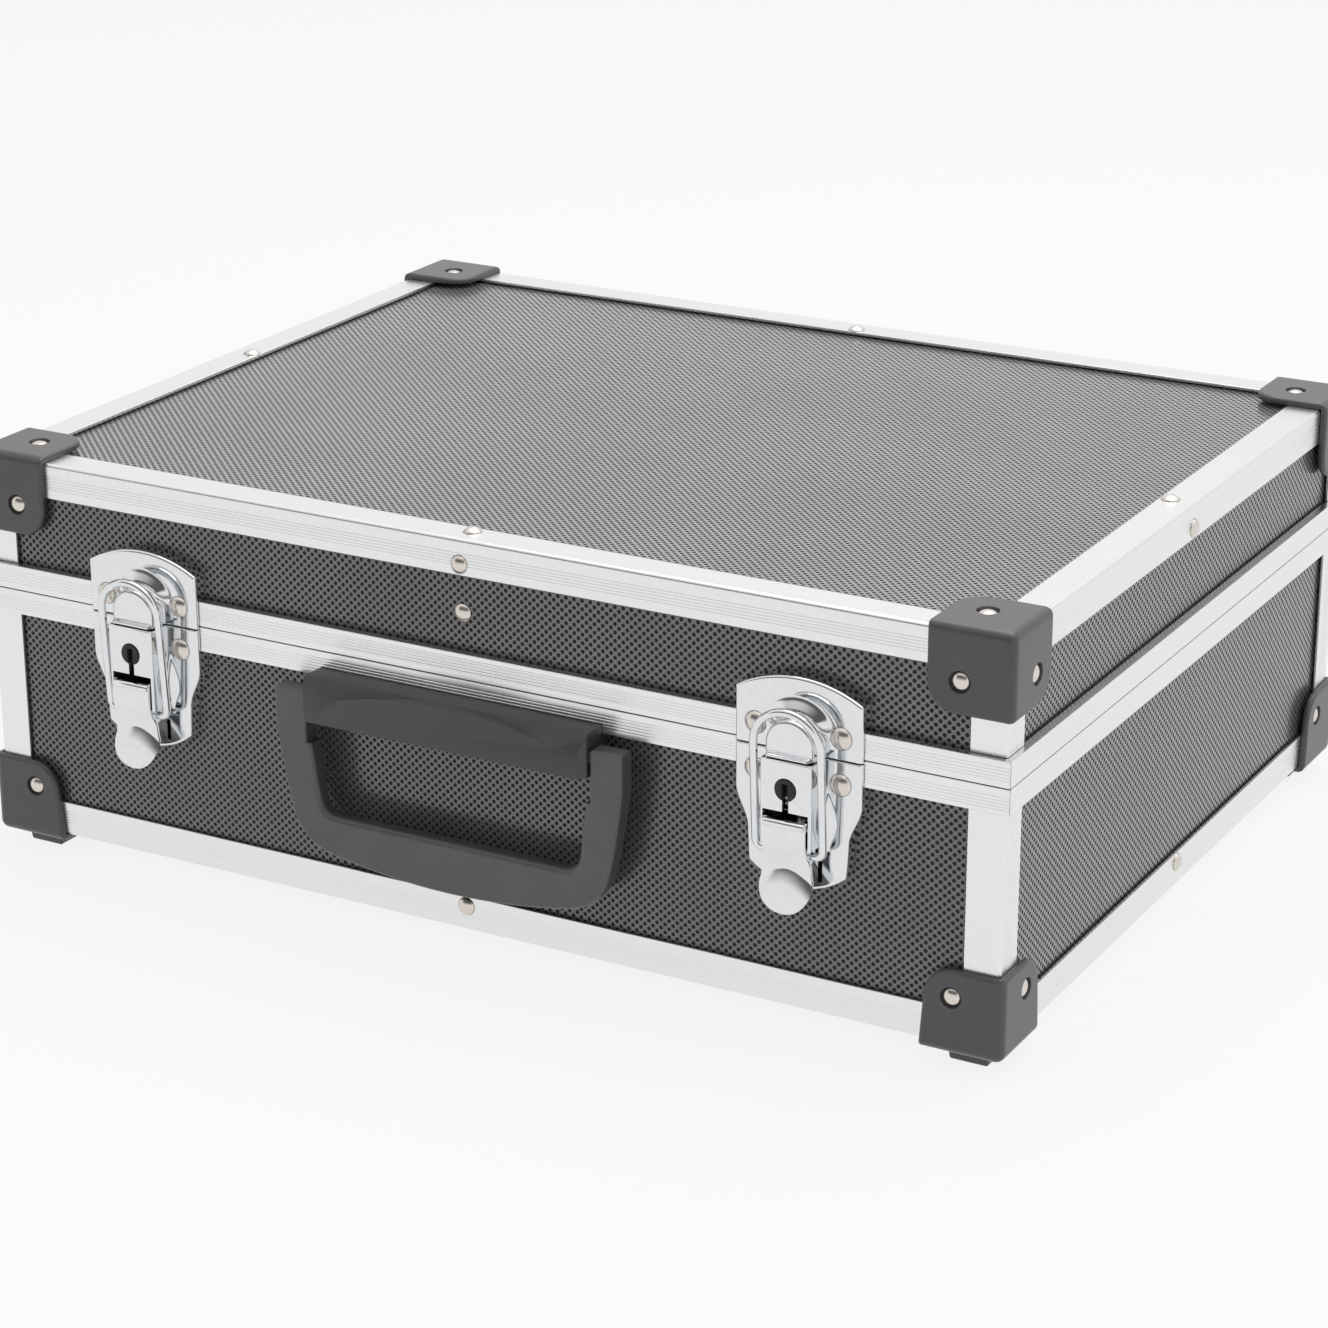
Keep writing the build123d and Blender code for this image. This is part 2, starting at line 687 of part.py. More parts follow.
def lever_pin(x):
    """Pin that is held between the cheeks of a lock's housing."""
    with BuildPart() as pin:
        with BuildSketch(side_plane(x)) as section:
            with Locations((lever_pivot_out, z_seam - lever_pivot_drop)):
                RegularPolygon(pin_radius, pin_facets)
        extrude(section.sketch, amount=housing_half - sheet - running, both=True)
    return pin.part


def bail(name, x):
    """Bent wire loop: feet turned into the lever's ears, an arch round the D."""
    rise = boss_centre + bail_pivot_drop
    lean = atan2(bail_arch_out - bail_pivot_out, rise + bail_half)
    arm_length = rise / cos(lean)
    plane = Plane(origin=(x, y_front - bail_pivot_out, z_seam - bail_pivot_drop),
                  x_dir=(1, 0, 0), z_dir=(0, -cos(lean), -sin(lean)))
    with BuildPart() as loop:
        with BuildLine(plane) as wire:
            turns = [pi * number / bail_arch for number in range(bail_arch + 1)]
            arch = [(-bail_half * cos(turn), arm_length + bail_half * sin(turn)) for turn in turns]
            foot = [(bail_tip, 0), (bail_half - bail_bend, 0), (bail_half, bail_bend)]
            Polyline(*[(-across, rise) for across, rise in foot], *arch, *reversed(foot))
        with BuildSketch(Plane(origin=wire.line @ 0, z_dir=wire.line % 0)) as section:
            RegularPolygon(bail_wire, bail_facets, rotation=180 / bail_facets)
        sweep(section.sketch, path=wire.line, transition=Transition.RIGHT)
    save(loop, name)


for piece, name in ((keeper, "keepers"), (lock_plate, "lock_plates"), (lever_pin, "lever_pins")):
    with BuildPart() as pair:
        for x in LATCHES.values():
            add(piece(x))
    save(pair, name)
for hand, x in LATCHES.items():
    lock_plug(f"lock_plug_{hand}", x)
    lever(f"latch_lever_{hand}", x)
    bail(f"latch_bail_{hand}", x)


# ------------------------------------------------------------------ handle
handle_height = z_seam - handle_pivot_drop

with BuildPart() as handle_mount:
    top, bottom = z_seam - mount_top, z_seam - mount_bottom
    block(front_plane(0, -tray_back), mount_half, bottom, top, tray_back + mount_proud)
    chamfer(handle_mount.edges().filter_by(Axis.Z).group_by(Axis.Y)[0], mount_corner)
    with BuildSketch(side_plane(0)) as facet:
        with BuildLine():
            Polyline((mount_proud, top - mount_facet_drop), (mount_proud + sheet, top - mount_facet_drop),
                     (mount_proud + sheet, top + sheet), (mount_proud - mount_facet_depth, top + sheet),
                     (mount_proud - mount_facet_depth, top), close=True)
        make_face()
    extrude(facet.sketch, amount=mount_half, both=True, mode=Mode.SUBTRACT)
    with BuildSketch(front_plane(0, mount_proud)) as apron:
        with BuildLine():
            Line((-mount_apron_half, top - mount_facet_drop), (mount_apron_half, top - mount_facet_drop))
            ThreePointArc((mount_apron_half, top - mount_facet_drop), (0, top),
                          (-mount_apron_half, top - mount_facet_drop))
        make_face()
    extrude(apron.sketch, amount=-mount_facet_depth)
    block(front_plane(0, -tray_back), case_width, rim_low - fit_gap, z_top, board_recess + rim_proud,
          Mode.SUBTRACT)
    bore = handle_pin_radius + running
    for end in (-mount_half, mount_half):
        cross_bore(end, handle_pivot_out, handle_height, bore, handle_pin_hold + fit_gap)
save(handle_mount, "handle_mount")


with BuildPart() as handle_loop:
    arm_inside = mount_half + handle_arm_gap
    arm_top = handle_height + handle_arm_top
    step = z_seam - handle_step_drop
    side_end, lower = z_seam - grip_side, z_seam - grip_bottom
    inner = z_seam - grip_top
    straight = handle_height - 2 * handle_arm_top
    belly = (handle_half + grip_side_half + handle_step) / 2
    with BuildSketch(front_plane(0, handle_pivot_out - handle_thick / 2)) as outline:
        with BuildLine():
            Polyline((arm_inside, arm_top), (handle_half, arm_top), (handle_half, straight))
            ThreePointArc((handle_half, straight), (belly, (straight + side_end) / 2),
                          (grip_side_half, side_end))
            Polyline((arm_inside, arm_top), (arm_inside, step), (arm_inside - handle_step, step),
                     (handle_inner_half, inner), (0, inner))
            mirror(about=Plane.YZ)
            ThreePointArc((grip_side_half, side_end), (0, lower), (-grip_side_half, side_end))
        make_face()
        grip_ends = outline.vertices().filter_by_position(Axis.Y, inner, inner)
        fillet(grip_ends, grip_inner_corner)
        fillet(outline.vertices().filter_by_position(Axis.Y, side_end, side_end), grip_corner)
    extrude(outline.sketch, amount=handle_thick)
    chamfer(handle_loop.edges().filter_by(Axis.Y, reverse=True), handle_arris)
    for end in (-arm_inside, arm_inside):
        cross_bore(end, handle_pivot_out, handle_height, bore, handle_pin_reach + fit_gap)
save(handle_loop, "handle_loop")


with BuildPart() as handle_pins:
    for end in (-1, 1):
        middle = mount_half + (handle_arm_gap + handle_pin_reach - handle_pin_hold) / 2
        with BuildSketch(side_plane(end * middle)) as section:
            with Locations((handle_pivot_out, handle_height)):
                RegularPolygon(handle_pin_radius, pin_facets)
        extrude(section.sketch, amount=(handle_pin_hold + handle_arm_gap + handle_pin_reach) / 2, both=True)
save(handle_pins, "handle_pins")


# ------------------------------------------------------------------ hinges
knuckle = (hinge_length - knuckle_gap * (knuckle_count - 1)) / knuckle_count


def hinge_leaves(name, up):
    """Pair of joggled leaves with their share of the knuckles."""
    on_rim, on_board = rim_proud + fit_gap + sheet / 2, leaf_face - sheet / 2
    clear = z_seam + up * (knuckle_radius + knuckle_gap)
    jog = rim_height + seam_gap
    own = range(0, knuckle_count, 2) if up < 0 else range(1, knuckle_count, 2)
    with BuildPart() as leaves:
        for middle in (-hinge_offset, hinge_offset):
            with BuildSketch(back_plane(middle)) as strip:
                with BuildLine() as centre_line:
                    Polyline((on_rim, clear), (on_rim, z_seam + up * jog),
                             (on_board, z_seam + up * (jog + on_rim - on_board)),
                             (on_board, z_seam + up * leaf_reach))
                trace(centre_line.line, line_width=sheet)
            extrude(strip.sketch, amount=hinge_length / 2, both=True)
            for number in own:
                place = middle - hinge_length / 2 + knuckle / 2 + number * (knuckle + knuckle_gap)
                with BuildSketch(back_plane(place)) as barrel:
                    with Locations((hinge_out, z_seam)):
                        RegularPolygon(knuckle_radius, ear_facets)
                    with Locations((on_rim, (z_seam + clear) / 2)):
                        Rectangle(sheet, abs(clear - z_seam))
                extrude(barrel.sketch, amount=knuckle / 2, both=True)
            with BuildSketch(back_plane(middle)) as bore:
                with Locations((hinge_out, z_seam)):
                    Circle(hinge_pin_radius + running)
            extrude(bore.sketch, amount=hinge_length, both=True, mode=Mode.SUBTRACT)
    save(leaves, name)


hinge_leaves("hinge_base_leaves", -1)
hinge_leaves("hinge_lid_leaves", 1)

with BuildPart() as hinge_pins:
    for middle in (-hinge_offset, hinge_offset):
        with BuildSketch(back_plane(middle)) as section:
            with Locations((hinge_out, z_seam)):
                RegularPolygon(hinge_pin_radius, pin_facets)
        extrude(section.sketch, amount=hinge_length / 2, both=True)
save(hinge_pins, "hinge_pins")


# -------------------------------------------------------------------- foam
pad_low = z_bottom + board_recess + board + foam_gap
insert_low = pad_low + pad_thick + foam_gap
insert_high = z_seam - foam_drop
foam_width = case_width - 2 * (core + foam_gap)
foam_depth = case_depth - 2 * (core + foam_gap)

with BuildPart() as foam_pad:
    inset = 2 * (profile_face + foam_gap)
    with BuildSketch(Plane.XY.offset(pad_low)) as outline:
        with Locations((0, y_mid)):
            Rectangle(case_width - inset, case_depth - inset)
    extrude(outline.sketch, amount=pad_thick)
save(foam_pad, "foam_pad")

with BuildPart() as foam_insert:
    with BuildSketch(Plane.XY.offset(insert_low)) as outline:
        with Locations((0, y_mid)):
            Rectangle(foam_width, foam_depth)
    extrude(outline.sketch, amount=insert_high - insert_low)
    pocket_front = y_mid - foam_depth / 2 + foam_margin
    tray_back_edge = y_mid + foam_depth / 2 - foam_margin
    first = -pocket_pitch * (pocket_count - 1) / 2
    with BuildSketch(Plane.XY.offset(insert_high)) as cuts:
        for number in range(pocket_count):
            middle = first + number * pocket_pitch
            with Locations((middle, pocket_front + pocket_length / 2)):
                Rectangle(pocket_width, pocket_length)
            with Locations((middle, pocket_front + pocket_length - pocket_head_length / 2)):
                Rectangle(pocket_head, pocket_head_length)
        with Locations((0, tray_back_edge - tray_width / 2)):
            Rectangle(tray_length, tray_width)
    extrude(cuts.sketch, amount=-pocket_depth, mode=Mode.SUBTRACT)
save(foam_insert, "foam_insert")

with BuildPart() as lid_foam:
    foam_low = z_seam + lid_foam_rise
    with BuildSketch(Plane.XY.offset(foam_low)) as outline:
        with Locations((0, y_mid)):
            Rectangle(foam_width, foam_depth)
    extrude(outline.sketch, amount=z_top - core - foam_gap - foam_low)
save(lid_foam, "lid_foam")
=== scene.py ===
# %% [markdown]
# # A hard case for six microphones
#
# The real case is a box of thin laminated boards. Their edges sit in grooved
# aluminium bars, and moulded caps hold the corners. Two draw latches and a
# folding handle are fixed to the front, and cut foam fills the inside.
#
# The solid model of the case is loaded first and never moved. Pieces that are
# right as they are get a finish. Pieces whose edges should be softer, or whose
# shape is finer than the solid, are made here and stand in the same place.

import math

import bmesh
import bpy
from mathutils import Matrix, Vector


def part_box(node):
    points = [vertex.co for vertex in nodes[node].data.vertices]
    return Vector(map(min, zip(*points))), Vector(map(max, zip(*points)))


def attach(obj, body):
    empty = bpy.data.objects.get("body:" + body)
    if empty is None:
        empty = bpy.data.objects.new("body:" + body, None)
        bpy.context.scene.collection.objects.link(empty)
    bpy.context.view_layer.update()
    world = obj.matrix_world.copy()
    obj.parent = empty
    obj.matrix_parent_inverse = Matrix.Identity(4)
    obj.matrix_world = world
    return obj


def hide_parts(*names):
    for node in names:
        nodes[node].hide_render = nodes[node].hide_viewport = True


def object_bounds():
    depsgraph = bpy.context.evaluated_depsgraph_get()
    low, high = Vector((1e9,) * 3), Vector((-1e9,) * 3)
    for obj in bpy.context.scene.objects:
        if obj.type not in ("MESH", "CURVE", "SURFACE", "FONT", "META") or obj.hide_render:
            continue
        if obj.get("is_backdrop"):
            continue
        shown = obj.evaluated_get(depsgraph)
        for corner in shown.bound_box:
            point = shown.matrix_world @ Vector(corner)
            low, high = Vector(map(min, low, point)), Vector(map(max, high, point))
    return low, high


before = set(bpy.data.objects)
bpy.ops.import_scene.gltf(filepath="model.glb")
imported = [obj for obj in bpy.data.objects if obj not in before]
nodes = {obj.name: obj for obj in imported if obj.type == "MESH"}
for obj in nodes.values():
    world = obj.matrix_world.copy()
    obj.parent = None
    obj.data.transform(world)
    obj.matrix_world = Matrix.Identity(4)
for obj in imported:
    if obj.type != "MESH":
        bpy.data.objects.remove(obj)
cad_low, cad_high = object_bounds()
scene = bpy.context.scene
scene.view_settings.view_transform = "Standard"
MM = 0.001
print("nodes", len(nodes), "size in mm", [round(c / MM, 1) for c in cad_high - cad_low])

# %% [markdown]
# ## Camera
#
# A long lens stands to the right of the case and looks a little down on it.
# The place and the three directions of the camera are given as vectors. A
# rotation could also be given as three angles, but vectors are easier to
# check: each is one unit long, and each is square to the other two.

# %% Camera
camera_place = Vector((0.665158, -1.205418, 0.577693))
camera_right = Vector((0.874010, 0.485904, -0.001681)).normalized()
camera_up = Vector((-0.169321, 0.307801, 0.936263)).normalized()
camera_back = camera_right.cross(camera_up)

lens = bpy.data.cameras.new("studio_camera")
lens.sensor_width = 36.0
lens.lens = 99.14
camera = bpy.data.objects.new("studio_camera", lens)
turn = Matrix((camera_right, camera_up, camera_back)).transposed()
camera.matrix_world = Matrix.Translation(camera_place) @ turn.to_4x4()
scene.collection.objects.link(camera)
scene.camera = camera
print("camera is", round(camera_place.length, 3), "m from the middle of the floor")

# %% [markdown]
# ## Writing a finish as sums
#
# A procedural finish is a graph of small nodes. Placing every node by hand
# hides the idea behind it. Here an output of a node is wrapped in a class that
# knows plus, minus, times and so on, and each sign adds one Math node. The
# pattern can then be read as a formula.


# %% Sockets that take part in sums
class Wire:
    """One output of a node, which can be added, multiplied and compared."""

    def __init__(self, finish, socket):
        self.finish, self.socket = finish, socket

    def maths(self, operation, *others):
        inputs = dict(enumerate((self, *others)))
        return self.finish.node("ShaderNodeMath", inputs, operation=operation)

    def flipped(self, operation, other):
        return self.finish.node("ShaderNodeMath", {0: other, 1: self}, operation=operation)

    def __add__(self, other):
        return self.maths("ADD", other)

    __radd__ = __add__

    def __sub__(self, other):
        return self.maths("SUBTRACT", other)

    def __rsub__(self, other):
        return self.flipped("SUBTRACT", other)

    def __mul__(self, other):
        return self.maths("MULTIPLY", other)

    __rmul__ = __mul__

    def __truediv__(self, other):
        return self.maths("DIVIDE", other)

    def __pow__(self, other):
        return self.maths("POWER", other)

    def nearest(self):
        """Distance to the nearest whole number, with its sign."""
        return self - self.maths("ROUND")

    def size(self):
        return self.maths("ABSOLUTE")

    def over(self, other):
        return self.maths("GREATER_THAN", other)

    def step(self, low, high, start=0.0, end=1.0):
        """Smooth change from start to end while the value goes from low to high."""
        sizes = {"Value": self, "From Min": low, "From Max": high, "To Min": start, "To Max": end}
        return self.finish.node("ShaderNodeMapRange", sizes, interpolation_type="SMOOTHSTEP")

    def between(self, first, second):
        """Colour that goes from first to second as the value goes from 0 to 1."""
        return self.finish.node("ShaderNodeMix", {0: self, 6: first, 7: second}, 2, data_type="RGBA")


# %% A finish and the nodes that it needs
class Finish:
    """A material. Numbers that are the same all over go straight on the shader."""

    def __init__(self, name, **plain):
        self.material = bpy.data.materials.new(name)
        self.material.use_nodes = True
        self.tree = self.material.node_tree
        self.shader = self.tree.nodes["Principled BSDF"]
        for socket, value in plain.items():
            self.shader.inputs[socket.replace("_", " ").title()].default_value = value

    def node(self, kind, inputs=None, output=0, **settings):
        made = self.tree.nodes.new(kind)
        for setting, value in settings.items():
            setattr(made, setting, value)
        for socket, value in (inputs or {}).items():
            if isinstance(value, Wire):
                self.tree.links.new(value.socket, made.inputs[socket])
            else:
                made.inputs[socket].default_value = value
        return Wire(self, made.outputs[output])

    def point(self):
        return self.node("ShaderNodeTexCoord", output="Object")

    def along(self):
        """Distances along X, Y and Z, in metres."""
        apart = self.node("ShaderNodeSeparateXYZ", {0: self.point()}).socket.node
        return {axis: Wire(self, apart.outputs[axis]) for axis in "XYZ"}

    def grain(self, across, detail=3.0, stretch=(1.0, 1.0, 1.0)):
        """Cloudy pattern whose patches are about as wide as across, in metres."""
        drawn = self.node("ShaderNodeMapping", {"Vector": self.point(), "Scale": stretch})
        sizes = {"Vector": drawn, "Scale": 1.0 / across, "Detail": detail}
        return self.node("ShaderNodeTexNoise", sizes)

    def lead(self, socket, wire):
        self.tree.links.new(wire.socket, self.shader.inputs[socket])

    def relief(self, height, depth, strength=1.0):
        sizes = {"Height": height, "Distance": depth, "Strength": strength}
        self.lead("Normal", self.node("ShaderNodeBump", sizes))


def paint(value, warmth=1.0):
    """A neutral colour; a warmth above 1 leans towards red."""
    return (value * warmth, value, value / warmth, 1.0)


# %% [markdown]
# ## Studio
#
# The case stands on a plain pale floor in a pale room. The floor could be made
# bright with strong lamps, but they would wash out the metal. Instead, the
# camera and the mirror-like finishes see a pale glow mixed into the floor, and
# the lamps stay soft and plain. The rest of the floor's light is real, so it
# keeps the shadow under the case.

# %% Floor and room
backdrop_tone = 0.947
floor_glow_tone, floor_glow_share = 0.960, 0.89


def seen_directly(tree):
    """1 for the camera and for mirror-like or clear finishes, else 0."""
    path = tree.nodes.new("ShaderNodeLightPath")
    total = path.outputs["Is Camera Ray"]
    for name in ("Is Glossy Ray", "Is Transmission Ray"):
        both = tree.nodes.new("ShaderNodeMath")
        both.operation = "MAXIMUM"
        tree.links.new(total, both.inputs[0])
        tree.links.new(path.outputs[name], both.inputs[1])
        total = both.outputs[0]
    return total


def studio_floor():
    bpy.ops.mesh.primitive_grid_add(x_subdivisions=4, y_subdivisions=4, size=14.0)
    floor = bpy.context.object
    floor.name = "studio_floor"
    pale = bpy.data.materials.new("studio_paper")
    pale.use_nodes = True
    tree = pale.node_tree
    paper = tree.nodes["Principled BSDF"]
    paper.inputs["Base Color"].default_value = paint(0.80)
    paper.inputs["Roughness"].default_value = 0.9
    glow = tree.nodes.new("ShaderNodeEmission")
    glow.inputs["Color"].default_value = paint(floor_glow_tone)
    share = tree.nodes.new("ShaderNodeMath")
    share.operation = "MULTIPLY"
    share.inputs[1].default_value = floor_glow_share
    tree.links.new(seen_directly(tree), share.inputs[0])
    mix = tree.nodes.new("ShaderNodeMixShader")
    tree.links.new(share.outputs[0], mix.inputs[0])
    tree.links.new(paper.outputs[0], mix.inputs[1])
    tree.links.new(glow.outputs[0], mix.inputs[2])
    tree.links.new(mix.outputs[0], tree.nodes["Material Output"].inputs["Surface"])
    floor.data.materials.append(pale)
    floor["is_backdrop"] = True
    return floor


def studio_room(strength):
    room = bpy.data.worlds.new("studio_room")
    room.use_nodes = True
    tree = room.node_tree
    wall = tree.nodes["Background"]
    wall.inputs["Color"].default_value = paint(1.0)
    wall.inputs["Strength"].default_value = strength
    pale = tree.nodes.new("ShaderNodeBackground")
    pale.inputs["Color"].default_value = paint(backdrop_tone)
    mix = tree.nodes.new("ShaderNodeMixShader")
    tree.links.new(seen_directly(tree), mix.inputs[0])
    tree.links.new(wall.outputs[0], mix.inputs[1])
    tree.links.new(pale.outputs[0], mix.inputs[2])
    tree.links.new(mix.outputs[0], tree.nodes["World Output"].inputs["Surface"])
    scene.world = room


studio_floor()
studio_room(0.55)

# %% [markdown]
# Bright metal in an all-white room has no outline: every bend in it reflects
# the same white. Photographers stand black cards beside the camera, so that
# each rolled edge picks up a dark line. The cards here are a very dark grey,
# because a quite black one would also darken the bars. They show only in
# mirror-like finishes and give no shadow. Their edges fade out, because a hard
# edge would draw a line of its own.

# %% Lamps and dark cards
card_tone = 0.12
card_full_across, card_full_up = 0.60, 0.30
looked_at = Vector((0, 0, 0.08))


def facing_case(thing, place):
    thing.location = place
    thing.rotation_euler = (looked_at - Vector(place)).to_track_quat("-Z", "Y").to_euler()
    scene.collection.objects.link(thing)
    return thing


def soft_lamp(name, place, width, power, in_metal):
    """Square lamp that faces the middle of the case."""
    light = bpy.data.lights.new(name, "AREA")
    light.size = width
    light.energy = power
    lamp = facing_case(bpy.data.objects.new(name, light), place)
    lamp.visible_glossy = in_metal
    return lamp


def dark_card(name, place, wide, tall):
    """Card that only mirror-like finishes see, with edges that fade out."""
    mesh = bpy.data.meshes.new(name)
    x, y = wide / 2, tall / 2
    mesh.from_pydata([(-x, -y, 0), (x, -y, 0), (x, y, 0), (-x, y, 0)], [], [(0, 1, 2, 3)])
    card = facing_case(bpy.data.objects.new(name, mesh), place)
    finish = Finish(name)
    place_on = finish.along()
    inside_x = (place_on["X"].size() / x).step(1.0, card_full_across)
    inside_y = (place_on["Y"].size() / y).step(1.0, card_full_up)
    clear = finish.node("ShaderNodeBsdfTransparent")
    dark = finish.node("ShaderNodeEmission", {"Color": paint(card_tone)})
    blend = finish.node("ShaderNodeMixShader", {0: inside_x * inside_y, 1: clear, 2: dark})
    finish.tree.links.new(blend.socket, finish.tree.nodes["Material Output"].inputs["Surface"])
    mesh.materials.append(finish.material)
    for view in ("camera", "diffuse", "transmission", "volume_scatter", "shadow"):
        setattr(card, f"visible_{view}", False)
    card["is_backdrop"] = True
    return card


lamps = [
    soft_lamp("top_lamp", (0.1, 0.5, 1.9), 1.8, 28.5, True),
    soft_lamp("right_lamp", (2.0, 0.3, 1.1), 1.4, 14.5, False),
    soft_lamp("front_lamp", (-0.9, -2.0, 1.2), 1.6, 11.0, False),
]
cards = [
    dark_card("black_card_front", (-0.1, -1.9, 1.0), 4.8, 1.7),
    dark_card("black_card_left", (-2.1, 0.1, 0.95), 1.8, 1.1),
]
print("lamps", [(lamp.name, lamp.data.energy) for lamp in lamps], "cards", len(cards))

# %% [markdown]
# ## Laminate with a net of small hollows
#
# The boards are faced with a dark laminate. Its surface is a grey net, and in
# each mesh of the net lies a round hollow, painted nearly black as painted
# shade. The hollows stand in rows that cross at a slant, so every second row is
# shifted by half a step.
# An image could carry this, but a formula stays sharp at any distance.
#
# Two slanted counts, the sum and the difference of the steps across and up,
# are whole numbers exactly at the hollows. The distance to the nearest whole
# count, turned back into metres, is the distance from the hollow's middle.

# %% Laminate
hollow_across = 3.32 * MM
hollow_up = 3.18 * MM
hollow_radius = 0.76 * MM
hollow_edge = 0.17 * MM
board_skin = 1.0 * MM


def violet_grey(value):
    """Grey of the laminate, which leans a little towards violet."""
    return (value * 1.01, value * 0.965, value * 1.03, 1.0)


def laminate(name, across, up, through, middle, reach, lift=1.0):
    """Laminate on boards whose outer face is reach from middle along through.

    The net is drawn across and up. A lift above 1 makes it paler, which paints in the extra light that falls
    on that board.
    """
    finish = Finish(name, coat_roughness=0.20)
    finish.shader.inputs["Coat IOR"].default_value = 1.6
    place = finish.along()
    step_across, step_up = place[across] / hollow_across, place[up] / hollow_up
    first, second = (step_across + step_up).nearest(), (step_across - step_up).nearest()
    aside = (first + second) * (0.5 * hollow_across)
    above = (first - second) * (0.5 * hollow_up)
    distance = (aside * aside + above * above) ** 0.5
    hollow = distance.step(hollow_radius + hollow_edge, hollow_radius - hollow_edge)
    skin = (place[through] - middle).size().over(reach - board_skin)
    clouds = finish.grain(60 * MM)
    specks = finish.grain(0.5 * MM)
    net = clouds.step(0.3, 0.7).between(violet_grey(0.078 * lift), violet_grey(0.096 * lift))
    # The hollows are painted nearly black: painted shade in the hollows.
    netted = hollow.between(net, violet_grey(0.005))
    lining = specks.between(paint(0.012), paint(0.030))
    finish.lead("Base Color", skin.between(lining, netted))
    shine = hollow.step(0.0, 1.0, 0.26, 0.75) + clouds * 0.06
    finish.lead("Roughness", skin * shine + (1.0 - skin) * 0.9)
    finish.lead("Coat Weight", (1.0 - hollow) * skin)
    finish.relief((1.0 - hollow * skin) + specks * 0.04, 0.50 * MM, 1.0)
    return finish.material


board_recess = 2.0 * MM
half_depth, half_width = 165.0 * MM - board_recess, 215.0 * MM - board_recess
y_mid = 3.65 * MM
z_low, z_high = 8.8 * MM + board_recess, 161.8 * MM - board_recess
level_mid, level_reach = (z_low + z_high) / 2, (z_high - z_low) / 2
# The lifts are painted light: the level boards and the front boards are drawn paler than the sides, for the
# light that falls on them.
laminates = {
    "front": laminate("netted_laminate_front_painted_light", "X", "Z", "Y", y_mid, half_depth, lift=1.06),
    "left": laminate("netted_laminate_side", "Y", "Z", "X", 0.0, half_width),
    "top": laminate("netted_laminate_level_painted_light", "X", "Y", "Z", level_mid, level_reach, lift=1.95),
}
laminates.update(back=laminates["front"], right=laminates["left"], bottom=laminates["top"])


def dress(node, material):
    """Give a node of the solid model a finish."""
    slots = nodes[node].material_slots
    if not slots:
        nodes[node].data.materials.append(material)
    for held in slots:
        held.material = material


for node in nodes:
    if "_panel_" in node:
        dress(node, laminates[node.rsplit("_", 1)[1]])
print("boards dressed", sum("_panel_" in node for node in nodes))

# %% [markdown]
# ## Satin aluminium
#
# The bars are pressed through a die and then anodised. Very fine lines run
# along each bar, and the shine changes slightly from line to line. A cloudy
# pattern stretched a thousand times along the bar gives those lines. One finish
# for each direction is needed, because the lines follow the bar.

# %% Aluminium
def satin_aluminium(name, stretch):
    finish = Finish(name, metallic=1.0)
    lines = finish.grain(0.35 * MM, 2.0, stretch)
    clouds = finish.grain(45 * MM)
    finish.lead("Base Color", lines.step(0.25, 0.75).between(paint(0.805, 0.998), paint(0.825, 0.998)))
    finish.lead("Roughness", lines * 0.05 + clouds * 0.05 + 0.22)
    finish.relief(lines, 0.003 * MM, 0.5)
    return finish.material


aluminium = {
    "X": satin_aluminium("satin_aluminium_x", (0.001, 1.0, 1.0)),
    "Y": satin_aluminium("satin_aluminium_y", (1.0, 0.001, 1.0)),
    "Z": satin_aluminium("satin_aluminium_z", (1.0, 1.0, 0.001)),
}


# %% [markdown]
# ## Bright nickel, steel, moulded plastic and foam
#
# The latches are pressed from sheet and plated with nickel. Plating is almost
# a mirror, but pressed sheet is never quite flat, so its reflections wave a
# little. The plastic of the caps and the handle has a fine matt grain from its
# mould. Foam is open and full of small pores.


# %% Metals
def plated(name, tone, warmth, shine):
    finish = Finish(name, metallic=1.0)
    waves = finish.grain(11 * MM, 1.0)
    haze = finish.grain(2.5 * MM)
    finish.lead("Base Color", haze.step(0.3, 0.7).between(paint(tone * 0.97, warmth), paint(tone, warmth)))
    finish.lead("Roughness", haze * 0.06 + shine)
    finish.relief(waves, 0.05 * MM, 0.5)
    return finish.material


latch_nickel = plated("latch_nickel", 0.77, 0.985, 0.05)
rivet_nickel = plated("rivet_nickel", 0.66, 1.08, 0.19)
hinge_steel = plated("hinge_zinc", 0.62, 0.99, 0.24)


# %% Plastics and foam
def moulded(name, tone, shine, grain_size=0.35 * MM, depth=0.02 * MM, coat=0.45):
    finish = Finish(name, coat_weight=coat, coat_roughness=0.32)
    grain = finish.grain(grain_size, 2.0)
    rub = finish.grain(14 * MM, 4.0)
    finish.lead("Base Color", rub.step(0.35, 0.75).between(violet_grey(tone), violet_grey(tone * 1.18)))
    finish.lead("Roughness", rub * 0.10 + grain * 0.06 + shine)
    finish.relief(grain, depth, 0.7)
    return finish.material


def open_foam(name, tone):
    finish = Finish(name, roughness=1.0)
    pores = finish.node("ShaderNodeTexVoronoi", {"Vector": finish.point(), "Scale": 1.0 / (1.1 * MM)})
    clouds = finish.grain(8 * MM, 4.0)
    finish.lead("Base Color", (pores + clouds * 0.5).step(0.2, 1.0).between(paint(tone * 0.45), paint(tone)))
    finish.relief(pores + clouds * 0.6, 0.5 * MM, 0.9)
    return finish.material


cap_plastic = moulded("cap_plastic", 0.040, 0.36)
handle_plastic = moulded("handle_plastic", 0.052, 0.34, 0.5 * MM, 0.04 * MM)
mount_plastic = moulded("mount_plastic", 0.030, 0.42, coat=0.35)
# Black of the key plugs; the same finish is painted shade inside the lock housings.
lock_black = moulded("lock_black", 0.012, 0.55, 0.6 * MM, coat=0.0)
case_foam = open_foam("case_foam", 0.040)
print("finishes", len(bpy.data.materials))

